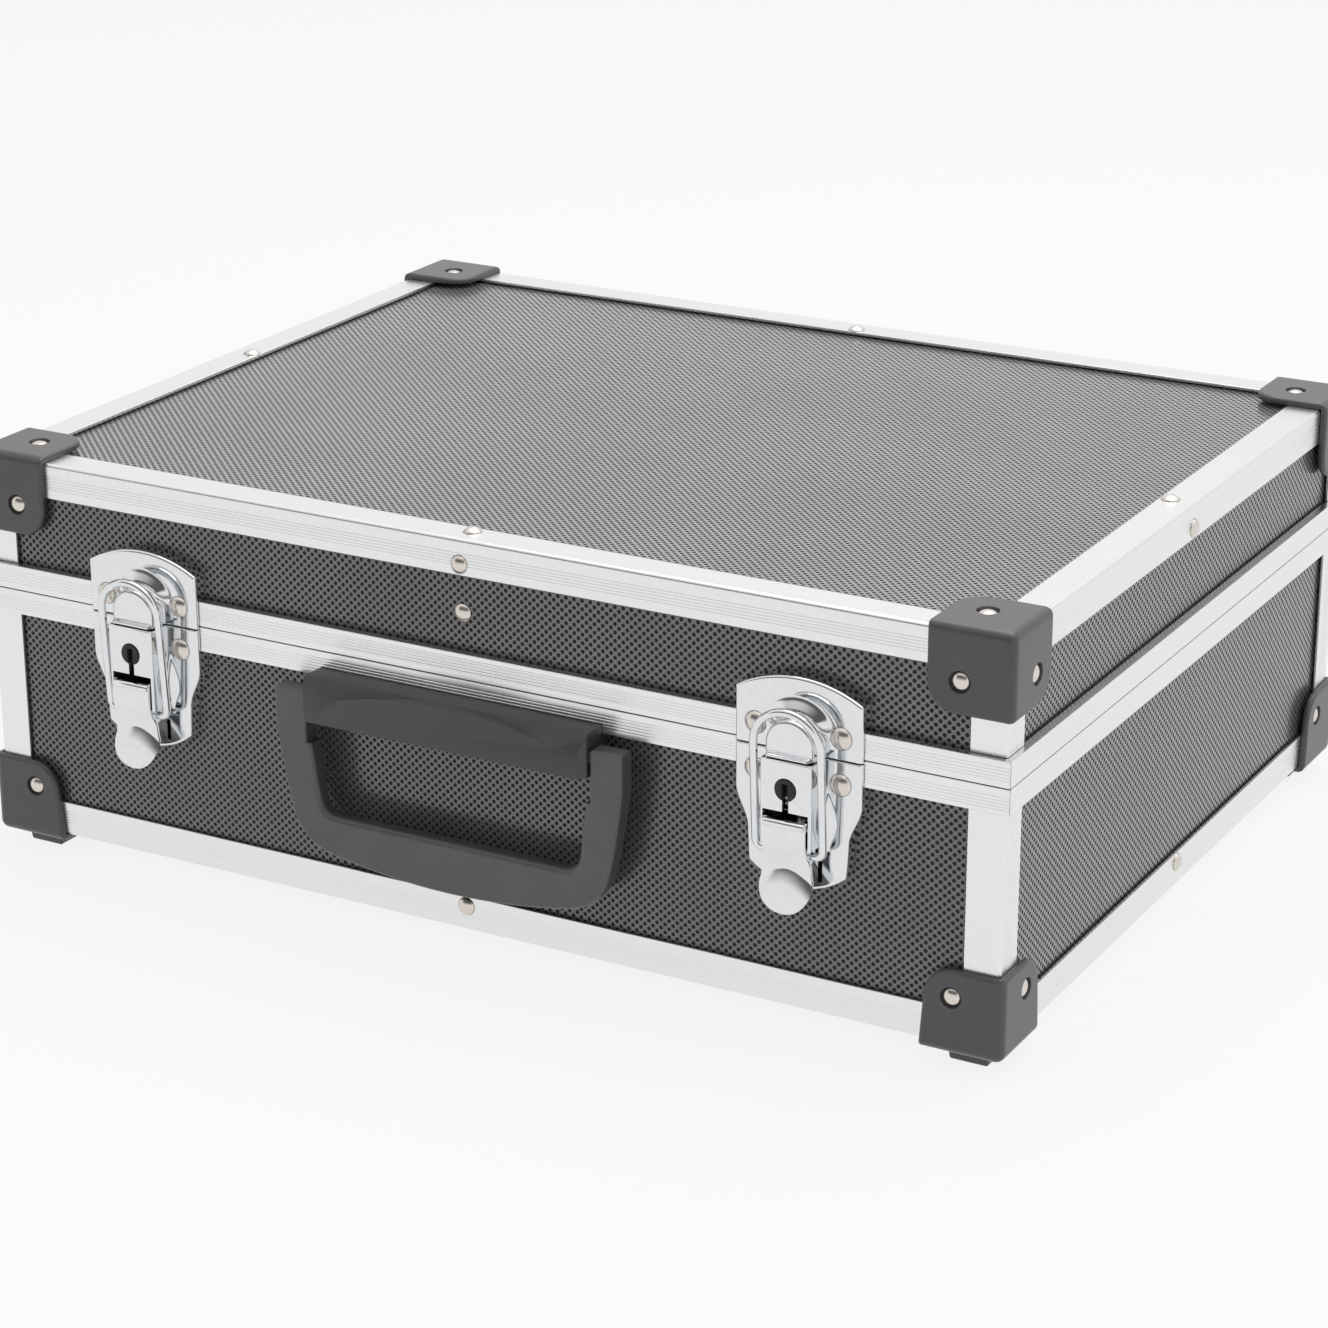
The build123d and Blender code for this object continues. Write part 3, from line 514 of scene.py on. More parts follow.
# %% [markdown]
# ## Softening the edges of a solid piece
#
# No real edge is perfectly sharp. A pressed or moulded edge is rounded, and it
# catches a thin line of light. The solid pieces have sharp edges, so a copy is
# taken, its loose triangles are merged, flat areas become single faces, and
# a Bevel modifier rounds the edges that turn by more than 30 degrees. A weight
# on each edge sets its own radius, so large and small edges need one modifier.


# %% Rounded copies
def linked(name, mesh, material):
    piece = bpy.data.objects.new(name, mesh)
    scene.collection.objects.link(piece)
    mesh.materials.clear()
    mesh.materials.append(material)
    return piece


def settled(piece):
    """Turn what the modifiers make into the piece's own plain mesh."""
    seen = piece.evaluated_get(bpy.context.evaluated_depsgraph_get())
    mesh = bpy.data.meshes.new_from_object(seen)
    piece.modifiers.clear()
    piece.data = mesh
    return piece


def rounded_copy(node, name, material, radius_of, segments=3, reshape=None):
    """Copy of a node whose edges are rounded to radius_of(edge), in metres."""
    shape = bmesh.new()
    shape.from_mesh(nodes[node].data)
    bmesh.ops.remove_doubles(shape, verts=shape.verts, dist=0.004 * MM)
    if reshape:
        reshape(shape)
    bmesh.ops.dissolve_limit(shape, angle_limit=math.radians(0.6), verts=shape.verts, edges=shape.edges)
    weight = shape.edges.layers.float.new("bevel_weight_edge")
    turned = [e for e in shape.edges if len(e.link_faces) == 2 and e.calc_face_angle(0.0) > math.radians(30)]
    widest = max(radius_of(edge) for edge in turned)
    for edge in turned:
        edge[weight] = radius_of(edge) / widest
    mesh = bpy.data.meshes.new(name)
    shape.to_mesh(mesh)
    shape.free()
    for polygon in mesh.polygons:
        polygon.use_smooth = True
    piece = linked(name, mesh, material)
    bevel = piece.modifiers.new("soft_edges", "BEVEL")
    bevel.limit_method = "WEIGHT"
    bevel.width = widest
    bevel.segments = segments
    bevel.harden_normals = True
    bevel.miter_outer = "MITER_ARC"
    settled(piece)
    print(name, "faces", len(piece.data.polygons))
    return piece


def shade(piece, angle=40):
    """Smooth shading that keeps flat faces flat."""
    for polygon in piece.data.polygons:
        polygon.use_smooth = True
    piece.data.set_sharp_from_angle(angle=math.radians(angle))
    weighted = piece.modifiers.new("flat_faces", "WEIGHTED_NORMAL")
    weighted.keep_sharp = True
    settled(piece)


def stand_in(piece, body, *replaced):
    """The piece rides on a body and is shown instead of these nodes."""
    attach(piece, body)
    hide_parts(*replaced)
    return piece


def even(radius):
    """The same rounding for every edge."""
    return lambda edge: radius


# %% [markdown]
# ## Bars
#
# The bars have a group of fine lines along their faces. On the solid these are
# sharp, deep grooves. A die leaves shallow ones, which show as soft lines, so
# on the copy the bottom of each groove is brought nearer to the face. The long
# outer edges are rounded a little, as if worn.

# %% Bars with shallow lines and slightly worn edges
groove_depth, groove_kept, bar_edge = 0.389 * MM, 0.36, 0.25 * MM
long_edge = 20 * MM
line_turn, most_line_turn, sharp_turn = 5.0, 22.0, 60.0


def with_shallow_lines(shape):
    low = Vector(min(v.co[i] for v in shape.verts) for i in range(3))
    high = Vector(max(v.co[i] for v in shape.verts) for i in range(3))
    for vertex in shape.verts:
        for i in range(3):
            for edge, inward in ((low[i], 1.0), (high[i], -1.0)):
                if abs((vertex.co[i] - edge) * inward - groove_depth) < 0.01 * MM:
                    vertex.co[i] = edge + inward * groove_depth * groove_kept


def bar_radius(edge):
    """Only the long square edges of a bar are rounded."""
    rounded = edge.calc_length() > long_edge and edge.calc_face_angle(0.0) > 1.0
    return bar_edge if rounded else 0.0


def show_lines(bar):
    """Shade the faint lines crisply and the rounded edges smoothly."""
    shape = bmesh.new()
    shape.from_mesh(bar.data)
    for edge in shape.edges:
        turn = math.degrees(edge.calc_face_angle(0.0))
        edge.smooth = not (line_turn < turn < most_line_turn or turn > sharp_turn)
    shape.to_mesh(bar.data)
    shape.free()
    weighted = bar.modifiers.new("flat_faces", "WEIGHTED_NORMAL")
    weighted.keep_sharp = True
    settled(bar)


bars = [node for node in nodes if "_profile_" in node or "_rim_" in node or node.endswith("_posts")]
for node in bars:
    run = "Z" if node.endswith("_posts") else "Y" if node.endswith(("left", "right")) else "X"
    bar = rounded_copy(node, f"satin_{node}", aluminium[run], bar_radius, 2, with_shallow_lines)
    show_lines(bar)
    stand_in(bar, node.split("_")[0], node)
print("bars", len(bars))

# %% [markdown]
# ## Corner caps
#
# Each corner is covered by a moulded cap with three leaves. The long outer
# edges are well rounded, and they run into one another in a round point. The
# solid has flat worked edges there, so the cap is made again: a block with
# rounded edges, less the corner of the case that it covers and less a round
# recess for each rivet. One cap is made for the lid and one for the base, and
# each is mirrored to the other three corners. The bottom caps lean in a little
# towards their top, and carry a foot with drafted sides.

# %% Blocks with chosen edges rounded
def block_shape(low, high):
    """Box between two corners, in millimetres."""
    shape = bmesh.new()
    size = [high[i] - low[i] for i in range(3)]
    middle = [(high[i] + low[i]) / 2 for i in range(3)]
    bmesh.ops.create_cube(shape, size=1.0, matrix=Matrix.Translation(middle) @ Matrix.Diagonal((*size, 1.0)))
    return shape


def round_edges(shape, chosen, radius, segments):
    bmesh.ops.bevel(shape, geom=chosen, offset=radius, segments=segments, affect="EDGES", profile=0.5,
                    offset_type="OFFSET", clamp_overlap=True)


def object_of(name, shape, scale=1.0):
    """Object that holds the shape, drawn scale times as large."""
    bmesh.ops.scale(shape, vec=(scale, scale, scale), verts=shape.verts)
    bmesh.ops.recalc_face_normals(shape, faces=shape.faces)
    mesh = bpy.data.meshes.new(name)
    shape.to_mesh(mesh)
    shape.free()
    made = bpy.data.objects.new(name, mesh)
    scene.collection.objects.link(made)
    return made


def cut(piece, *tools):
    """Take each tool's shape out of the piece."""
    for tool in tools:
        knife = piece.modifiers.new("cut", "BOOLEAN")
        knife.operation = "DIFFERENCE"
        knife.solver = "EXACT"
        knife.object = tool
    settled(piece)
    for tool in tools:
        bpy.data.objects.remove(tool)


def soften(piece, radius, segments=2, angle=50):
    """Round every edge that turns by more than the angle, and shade the rest as one."""
    bevel = piece.modifiers.new("soft_edges", "BEVEL")
    bevel.width = radius
    bevel.segments = segments
    bevel.limit_method = "ANGLE"
    bevel.angle_limit = math.radians(angle)
    settled(piece)


def prism(outline, low, high, axis):
    """Prism over a closed outline of pairs, from low to high along an axis."""
    shape = bmesh.new()
    ring = []
    for first, second in outline:
        place = [first, second]
        place.insert(axis, low)
        ring.append(shape.verts.new(place))
    cap = shape.faces.new(ring)
    grown = bmesh.ops.extrude_face_region(shape, geom=[cap])
    step = [0.0, 0.0, 0.0]
    step[axis] = high - low
    moved = [v for v in grown["geom"] if isinstance(v, bmesh.types.BMVert)]
    bmesh.ops.translate(shape, verts=moved, vec=step)
    bmesh.ops.recalc_face_normals(shape, faces=shape.faces)
    return shape


def circle(radius, across=0.0, up=0.0, sides=36):
    turns = [2 * math.pi * number / sides for number in range(sides)]
    return [(across + radius * math.cos(turn), up + radius * math.sin(turn)) for turn in turns]


# %% Shape of one cap, measured inward from its outer point
cap_size, cap_wall = 32.2, 2.5
cap_free_corner, cap_round, cap_rim = 11.0, 3.6, 1.5
recess_radius, recess_depth, recess_round = 4.0, 1.3, 0.22
cap_proud = 2.6
foot_near, foot_far, foot_below, foot_lean = 8.2, 24.6, 6.2, 0.85
cap_lean = 0.075


def cap_block(lean):
    shape = block_shape((0, 0, 0), (cap_size, cap_size, cap_size))
    far = []
    for edge in shape.edges:
        ends = [all(v.co[i] > cap_size - 0.01 for v in edge.verts) for i in range(3)]
        if sum(ends) == 2:
            far.append(edge)
    round_edges(shape, far, cap_free_corner, 10)
    weight = shape.edges.layers.float.new("bevel_weight_edge")
    for edge in shape.edges:
        outer = [any(abs(f.calc_center_median()[i]) < 0.001 for i in range(3)) for f in edge.link_faces]
        edge[weight] = 1.0 if all(outer) else cap_rim / cap_round if any(outer) else 0.0
    for vertex in shape.verts:
        for i in (0, 1):
            vertex.co[i] *= 1.0 - lean * vertex.co.z / cap_size
    piece = object_of("cap_block", shape)
    bevel = piece.modifiers.new("round", "BEVEL")
    bevel.limit_method = "WEIGHT"
    bevel.width = cap_round
    bevel.segments = 6
    settled(piece)
    return piece


def cap_shape(rivets_at, on_level, lean):
    """Cap of one corner, with a recess on each upright face and perhaps on the level one."""
    piece = cap_block(lean)
    far = cap_size + 5.0
    hollow = object_of("hollow", block_shape((cap_wall, cap_wall, cap_wall), (far, far, far)))
    tools = [hollow]
    upright, rise = rivets_at
    for axis in (0, 1):
        ring = [(b, a) for a, b in circle(recess_radius, rise, upright)]
        tools.append(object_of("recess", prism(ring, -1.0, recess_depth, axis)))
    if on_level:
        ring = circle(recess_radius, on_level, on_level)
        tools.append(object_of("recess", prism(ring, -1.0, recess_depth, 2)))
    cut(piece, *tools)
    soften(piece, recess_round)
    shape = bmesh.new()
    shape.from_mesh(piece.data)
    bpy.data.objects.remove(piece)
    return shape


def foot_shape():
    """Foot under a bottom cap, which leans in on all four sides."""
    shape = block_shape((foot_near, foot_near, -foot_below), (foot_far, foot_far, 1.0))
    middle = (foot_near + foot_far) / 2
    for vertex in shape.verts:
        if vertex.co.z < 0:
            for i in (0, 1):
                vertex.co[i] += math.copysign(foot_lean, middle - vertex.co[i])
    round_edges(shape, list(shape.edges), 0.9, 3)
    return shape


def four_corners(half, one_cap):
    """Mirror one cap, drawn inward from its point, to all four corners of a half."""
    whole = bmesh.new()
    up = 1.0 if half == "lid" else -1.0
    low, high = (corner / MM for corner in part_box(f"{half}_caps"))
    level = high.z if half == "lid" else low.z + foot_below
    for side_x in (-1.0, 1.0):
        for side_y in (-1.0, 1.0):
            point = Vector((high.x if side_x > 0 else low.x, high.y if side_y > 0 else low.y, level))
            copy = bpy.data.meshes.new("cap")
            one_cap.to_mesh(copy)
            copy.transform(Matrix.Translation(point) @ Matrix.Diagonal((-side_x, -side_y, -up, 1.0)))
            if side_x * side_y * up > 0:
                copy.flip_normals()
            whole.from_mesh(copy)
            bpy.data.meshes.remove(copy)
    return whole


# %% Caps of the lid and of the base
lid_cap = cap_shape((17.2 + cap_proud, 17.6 + cap_proud), 15.6 + cap_proud, 0.0)
base_cap = cap_shape((17.2 + cap_proud, 19.2 + cap_proud), None, cap_lean)
foot = bpy.data.meshes.new("foot")
foot_shape().to_mesh(foot)
base_cap.from_mesh(foot)
for half, one_cap in (("lid", lid_cap), ("base", base_cap)):
    whole = four_corners(half, one_cap)
    piece = object_of(f"{half}_corner_caps", whole, MM)
    piece.data.materials.append(cap_plastic)
    shade(piece)
    stand_in(piece, half, f"{half}_caps")
    print(piece.name, "faces", len(piece.data.polygons))

# %% [markdown]
# ## Rivets
#
# More than sixty domed rivets hold the case together. They share one shape, so
# one dome is made by rule and set on every seat with Geometry Nodes. Those on
# the latches are a little wider, which each seat carries as a number. The
# seats are read from the solid model: each rivet there is a small flat prism,
# whose thin direction is the direction that the dome should face.


# %% Where the rivets sit
def islands(node):
    """Corners of each separate solid in a node; the solids come in no fixed order."""
    shape = bmesh.new()
    shape.from_mesh(nodes[node].data)
    bmesh.ops.remove_doubles(shape, verts=shape.verts, dist=0.004 * MM)
    left, found = set(shape.verts), []
    while left:
        group, waiting = [], [left.pop()]
        while waiting:
            vertex = waiting.pop()
            group.append(vertex.co.copy())
            for edge in vertex.link_edges:
                other = edge.other_vert(vertex)
                if other in left:
                    left.remove(other)
                    waiting.append(other)
        found.append(group)
    shape.free()
    return found


def seat_of(corners):
    """Middle of a rivet's foot, and the direction away from the case."""
    low = Vector(min(c[i] for c in corners) for i in range(3))
    high = Vector(max(c[i] for c in corners) for i in range(3))
    thin = min(range(3), key=lambda i: high[i] - low[i])
    middle = (low + high) / 2
    outward = Vector((0.0, 0.0, 0.0))
    case_middle = (0.0, y_mid, level_mid)
    outward[thin] = 1.0 if middle[thin] > case_middle[thin] else -1.0
    middle[thin] = low[thin] if outward[thin] > 0 else high[thin]
    return middle, outward


# %% [markdown]
# The dome starts as a cylinder with several rings. Each ring is set at its own
# angle on a ball, drawn in by the sine of the angle and raised by the cosine.
# The point at the middle of the top is already there, so the dome is closed.

# %% Geometry Nodes that set a dome on each seat
class Graph:
    """A Geometry Nodes tree with named inputs."""

    def __init__(self, name, inputs):
        self.tree = bpy.data.node_groups.new(name, "GeometryNodeTree")
        self.names = {}
        for label, (kind, value) in inputs.items():
            socket = self.tree.interface.new_socket(
                name=label, in_out="INPUT", socket_type="NodeSocket" + kind)
            if value is not None:
                socket.default_value = value
            self.names[label] = socket.identifier
        self.tree.interface.new_socket(name="Shape", in_out="OUTPUT", socket_type="NodeSocketGeometry")
        self.start = self.tree.nodes.new("NodeGroupInput")
        self.end = self.tree.nodes.new("NodeGroupOutput")

    def node(self, kind, inputs=None, **settings):
        made = self.tree.nodes.new(kind)
        for setting, value in settings.items():
            setattr(made, setting, value)
        for socket, value in (inputs or {}).items():
            if isinstance(value, bpy.types.NodeSocket):
                self.tree.links.new(value, made.inputs[socket])
            else:
                made.inputs[socket].default_value = value
        return made

    def maths(self, operation, *values):
        return self.node("ShaderNodeMath", dict(enumerate(values)), operation=operation).outputs[0]

    def given(self, label):
        return self.start.outputs[label]

    def shape(self, socket):
        self.tree.links.new(socket, self.end.inputs[0])

    def grow(self, piece, **values):
        """Run the tree on a piece and keep the result as its plain mesh."""
        modifier = piece.modifiers.new(self.tree.name, "NODES")
        modifier.node_group = self.tree
        for label, value in values.items():
            modifier[self.names[label.replace("_", " ")]] = value
        return settled(piece)


rivets = Graph("domed_rivets", {
    "Seats": ("Geometry", None), "Head radius": ("Float", 3.7 * MM), "Head height": ("Float", 1.75 * MM),
    "Sides": ("Int", 28), "Rings": ("Int", 7), "Seed": ("Int", 3), "Finish": ("Material", None)})
blank = rivets.node("GeometryNodeMeshCylinder", {
    "Vertices": rivets.given("Sides"), "Side Segments": rivets.given("Rings"), "Radius": 1.0, "Depth": 1.0},
    fill_type="TRIANGLE_FAN")
place = rivets.node("GeometryNodeInputPosition").outputs[0]
apart = rivets.node("ShaderNodeSeparateXYZ", {0: place})
rim_angle = 0.95
share_down = rivets.maths("SUBTRACT", 0.5, apart.outputs["Z"])
angle = rivets.maths("MULTIPLY", rivets.maths("MAXIMUM", share_down, 0.04), rim_angle)
reach = rivets.maths("DIVIDE", rivets.maths("SINE", angle), math.sin(rim_angle))
wide = rivets.maths("MULTIPLY", reach, rivets.given("Head radius"))
lift = rivets.maths("SUBTRACT", rivets.maths("COSINE", angle), math.cos(rim_angle))
risen = rivets.maths("DIVIDE", lift, 1 - math.cos(rim_angle))
tall = rivets.maths("MULTIPLY", risen, rivets.given("Head height"))
curved = rivets.node("ShaderNodeCombineXYZ", {
    0: rivets.maths("MULTIPLY", apart.outputs["X"], wide),
    1: rivets.maths("MULTIPLY", apart.outputs["Y"], wide), 2: tall}).outputs[0]
dome = rivets.node("GeometryNodeSetPosition", {"Geometry": blank.outputs["Mesh"], "Position": curved})
facing = rivets.node("GeometryNodeInputNamedAttribute", {"Name": "outward"}, data_type="FLOAT_VECTOR")
upright = rivets.node("FunctionNodeAlignRotationToVector", {"Vector": facing.outputs[0]}, axis="Z")
drawn = rivets.node("FunctionNodeRandomValue", {
    2: 0.985, 3: 1.015, "Seed": rivets.given("Seed")}, data_type="FLOAT")
wide_here = rivets.node("GeometryNodeInputNamedAttribute", {"Name": "wide"}, data_type="FLOAT").outputs[0]
size = rivets.maths("MULTIPLY", drawn.outputs[1], wide_here)
room = rivets.node("GeometryNodeInputNamedAttribute", {"Name": "room"}, data_type="FLOAT").outputs[0]
lower = rivets.maths("MINIMUM", wide_here, rivets.maths("DIVIDE", room, rivets.given("Head height")))
scaled = rivets.node("ShaderNodeCombineXYZ", {0: size, 1: size, 2: lower}).outputs[0]
spread = rivets.node("GeometryNodeInstanceOnPoints", {
    "Points": rivets.given("Seats"), "Instance": dome.outputs[0], "Rotation": upright.outputs[0],
    "Scale": scaled})
solid = rivets.node("GeometryNodeRealizeInstances", {0: spread.outputs[0]})
smooth = rivets.node("GeometryNodeSetShadeSmooth", {0: solid.outputs[0]})
finished = rivets.node("GeometryNodeSetMaterial", {
    "Geometry": smooth.outputs[0], "Material": rivets.given("Finish")})
rivets.shape(finished.outputs[0])


# %% Rivets of the base and of the lid
latch_aside, latch_reach_across, latch_reach_up = 138.7 * MM, 20 * MM, 50 * MM
latch_dome_wide = 1.16


def on_latch(middle, direction):
    """Whether a rivet holds one of the two latches."""
    across = abs(abs(middle.x) - latch_aside) < latch_reach_across
    return direction.y < 0 and across and abs(middle.z - level_mid) < latch_reach_up


def rivet_heads(half):
    seats = [seat_of(corners) for corners in islands(f"{half}_rivets")]
    mesh = bpy.data.meshes.new(f"{half}_rivet_heads")
    mesh.from_pydata([middle for middle, outward in seats], [], [])
    mesh.attributes.new("outward", "FLOAT_VECTOR", "POINT")
    mesh.attributes.new("room", "FLOAT", "POINT")
    mesh.attributes.new("wide", "FLOAT", "POINT")
    outward, room, wide = (mesh.attributes[name] for name in ("outward", "room", "wide"))
    for number, (middle, direction) in enumerate(seats):
        outward.data[number].vector = direction
        reach = cad_high if sum(direction) > 0 else cad_low
        room.data[number].value = abs((reach - middle).dot(direction))
        wide.data[number].value = latch_dome_wide if on_latch(middle, direction) else 1.0
    piece = bpy.data.objects.new(f"{half}_rivet_heads", mesh)
    scene.collection.objects.link(piece)
    rivets.grow(piece, Finish=rivet_nickel)
    stand_in(piece, half, f"{half}_rivets")
    print(piece.name, "seats", len(seats), "faces", len(piece.data.polygons))


rivet_heads("base")
rivet_heads("lid")

# %% [markdown]
# ## Keepers and lock plates
#
# The keeper and the lock plate are pressed from sheet. A press can't make a
# sharp corner: the skirt, the raised D and the turned-back rim all flow into
# the flat with a radius, and that is what makes bright metal readable. The
# plates are therefore drawn as one skin. Lines run out from the middle to the
# outline, and along each line the same few stations give the height of the
# skin. Solidify then adds the thickness of the sheet behind it.

# %% Sizes of the pressed plates, in millimetres
front_face = -161.35
seam = 109.3
latch_places = {"left": -138.7, "right": 138.7}
sheet = 1.2
plate_half, plate_face, plate_roll = 24.6, 4.2, 1.3
keeper_foot, keeper_side, keeper_crown = -0.95, 19.6, 26.4
boss_middle, boss_radius, boss_face, boss_round = 3.5, 9.3, 11.4, 1.4
skirt_radius, skirt_face = 15.4, 7.2
split_roll = 0.5
bead_wide, bead_high = 1.8, 1.8
lock_top, lock_shoulder, lock_waist, lock_corner, lock_bottom = -1.45, -18.5, -31.5, -45.0, -52.2
waist_half, foot_half, lock_fan = 19.8, 19.0, -33.6
rim_reach, rim_level, turned_back = 2.7, 10.05, -1.8
skirt_start, skirt_full = math.radians(10), math.radians(50)


def smoothstep(value, low, high):
    share = min(1.0, max(0.0, (value - low) / (high - low)))
    return share * share * (3 - 2 * share)


def ramp(value, low, high, soft=0.30):
    """Straight change from 0 to 1 whose two ends are eased over a share of the way."""
    share = min(1.0, max(0.0, (value - low) / (high - low)))
    steep = 1.0 / (1.0 - soft)
    if share < soft:
        return steep * share * share / (2 * soft)
    if share > 1.0 - soft:
        return 1.0 - steep * (1.0 - share) ** 2 / (2 * soft)
    return steep * (share - soft / 2)


def quarter(radius, steps):
    """Sideways and downward parts of a quarter circle, from its top."""
    turns = [math.pi / 2 * number / steps for number in range(steps + 1)]
    return [(radius * math.sin(turn), radius * (1 - math.cos(turn))) for turn in turns]


def wall_end(up):
    """How far back the turned edge reaches; it stops at the case's raised rim."""
    return rim_reach if abs(up) < rim_level else turned_back


def finished_line(stations, last, start, direction, reach):
    """The stations, then the flat from last and the rolled edge, none lower than the wall."""
    flat_end = reach - plate_roll
    stations += [(last + (flat_end - last) * n / 4, plate_face) for n in range(1, 4)]
    stations += [(flat_end + aside, plate_face - down) for aside, down in quarter(plate_roll, 6)]
    shaped = []
    for distance, out in stations:
        up = start[1] + direction[1] * distance
        shaped.append((distance, max(out, wall_end(up))))
    foot = wall_end(start[1] + direction[1] * reach)
    shaped.append((reach, min(shaped[-1][1] - 0.01, foot)))
    return shaped


def foot_bead(across, above):
    """Small lip along the foot of the raised D, level with the lock's housing."""
    ends = 1.0 - smoothstep(abs(across), boss_radius - 1.4, boss_radius - 0.6)
    return bead_high * ends * (1.0 - smoothstep(above, 0.5 * bead_wide, bead_wide))


def skin(name, lines, height, low=None, high=None):
    """Sheet skin over lines of (start, direction, reach), with height(line, distance)."""
    shape = bmesh.new()
    grid = []
    for start, direction, reach in lines:
        row = []
        for distance, out in height(start, direction, reach):
            across, up = start[0] + direction[0] * distance, start[1] + direction[1] * distance
            if low is not None:
                out += foot_bead(across, up - low)
            for edge, sign in ((low, 1), (high, -1)):
                if edge is not None and sign * (up - edge) < split_roll and out > wall_end(up) + 0.01:
                    inside = split_roll - max(0.0, sign * (up - edge))
                    out -= split_roll - math.sqrt(max(0.0, split_roll ** 2 - inside ** 2))
            row.append(shape.verts.new((across, -out, up)))
        grid.append(row)
    for first, second in zip(grid, grid[1:]):
        for n in range(len(first) - 1):
            shape.faces.new((first[n], first[n + 1], second[n + 1], second[n]))
    bmesh.ops.remove_doubles(shape, verts=shape.verts, dist=0.0005)
    bmesh.ops.recalc_face_normals(shape, faces=shape.faces)
    facing = sum(face.normal.y * face.calc_area() for face in shape.faces)
    if facing > 0:
        bmesh.ops.reverse_faces(shape, faces=shape.faces)
    piece = object_of_skin(name, shape)
    wall = piece.modifiers.new("sheet", "SOLIDIFY")
    wall.thickness = 0.9
    wall.offset = -1.0
    settled(piece)
    return piece


def object_of_skin(name, shape):
    mesh = bpy.data.meshes.new(name)
    shape.to_mesh(mesh)
    shape.free()
    made = bpy.data.objects.new(name, mesh)
    scene.collection.objects.link(made)
    return made


# %% Lines and heights of the keeper
split_rows = [0.0, 0.03, 0.08, 0.16, 0.28, 0.40, 0.5]


def keeper_reach(turn):
    """From the middle of the arch to the keeper's outline."""
    span, rise = plate_half, keeper_crown - keeper_side
    crown_radius = (span ** 2 + rise ** 2) / (2 * rise)
    middle = keeper_crown - crown_radius - boss_middle
    across, up = math.cos(turn), math.sin(turn)
    inward = middle * up
    to_crown = inward + math.sqrt(inward ** 2 - middle ** 2 + crown_radius ** 2)
    return min(to_crown, plate_half / abs(across)) if abs(across) > 1e-6 else to_crown


def keeper_lines():
    rows = [keeper_foot + step for step in split_rows]
    rows += [rows[-1] + (boss_middle - rows[-1]) * n / 20 for n in range(1, 20)]
    right = [((0.0, up), (1.0, 0.0), plate_half) for up in rows]
    level = math.atan2(rim_level - boss_middle, plate_half)
    corner = math.atan2(keeper_side - boss_middle, plate_half)
    turns = sorted([math.pi * n / 120 for n in range(61)] + [level - 0.002, level + 0.002, corner])
    turns += [math.pi - turn for turn in reversed(turns[:-1])]
    arch = [((0.0, boss_middle), (math.cos(turn), math.sin(turn)), keeper_reach(turn)) for turn in turns]
    left = [((0.0, up), (-1.0, 0.0), plate_half) for up in reversed(rows)]
    return right + arch + left


def keeper_height(start, direction, reach):
    inner = boss_radius - boss_round
    stations = [(0.0, boss_face), (inner * 0.5, boss_face), (inner * 0.9, boss_face)]
    stations += [(inner + aside, boss_face - down) for aside, down in quarter(boss_round, 6)]
    turn = math.atan2(direction[1], abs(direction[0])) if start[1] >= boss_middle else 0.0
    rise = (skirt_face - plate_face) * smoothstep(turn, skirt_start, skirt_full)
    stations += [(boss_radius + aside, plate_face + rise + above)
                 for aside, above in ((0.05, 1.4), (0.15, 0.7), (0.35, 0.25), (0.6, 0.05))]
    slope = [(boss_radius + 0.9) + (skirt_radius + 1.0 - boss_radius - 0.9) * n / 14 for n in range(15)]
    for distance in slope:
        stations.append((distance, plate_face + rise * (1.0 - ramp(distance, slope[0], slope[-1]))))
    return finished_line(stations, slope[-1], start, direction, reach)


# %% Lines and heights of the lock plate
def lock_half(up):
    """Half width of the lock plate's straight part, with its curved shoulder."""
    return plate_half + (waist_half - plate_half) * smoothstep(-up, -lock_shoulder - 1.0, -lock_waist + 1.0)


def lock_reach(turn):
    """From the middle of the fan to the rounded foot; turn is counted down from the right."""
    half = lock_half(lock_fan)
    corner_turn = math.atan2(lock_fan - lock_corner, foot_half)
    if turn < corner_turn:
        share = turn / corner_turn
        return math.hypot(half + (foot_half - half) * share, (lock_fan - lock_corner) * share)
    sag = lock_corner - lock_bottom
    foot_radius = (foot_half ** 2 + sag ** 2) / (2 * sag)
    middle = (lock_bottom + foot_radius) - lock_fan
    down = -math.sin(turn)
    inward = middle * down
    return inward + math.sqrt(inward ** 2 - middle ** 2 + foot_radius ** 2)


def lock_lines():
    rows = [lock_top - step for step in split_rows]
    last = rows[-1]
    rows += [last + (lock_fan - last) * n / 54 for n in range(1, 54)]
    rows = sorted(rows + [-rim_level + 0.05, -rim_level - 0.05], reverse=True)
    right = [((0.0, up), (1.0, 0.0), lock_half(up)) for up in rows]
    corner_turn = math.atan2(lock_fan - lock_corner, foot_half)
    turns = sorted([math.pi * n / 60 for n in range(31)] + [corner_turn])
    turns += [math.pi - turn for turn in reversed(turns[:-1])]
    fan = [((0.0, lock_fan), (math.cos(turn), -math.sin(turn)), lock_reach(min(turn, math.pi - turn)))
           for turn in turns]
    left = [((0.0, up), (-1.0, 0.0), lock_half(up)) for up in reversed(rows)]
    return right + fan + left


def lock_height(start, direction, reach):
    slope = [10.2 + 6.0 * n / 12 for n in range(13)]
    stations = [(0.0, plate_face), (5.0, plate_face), (9.0, plate_face)]
    for distance in slope:
        up = start[1] + direction[1] * distance
        fade = smoothstep(-up, 11.0, 25.0) * (1.0 - smoothstep(-up, 26.0, 37.0))
        ridge = 1.0 - smoothstep(distance, 11.2, 12.2 + 3.2 * fade)
        stations.append((distance, plate_face + (skirt_face - plate_face - 0.4) * fade * ridge))
    return finished_line(stations, slope[-1], start, direction, reach)


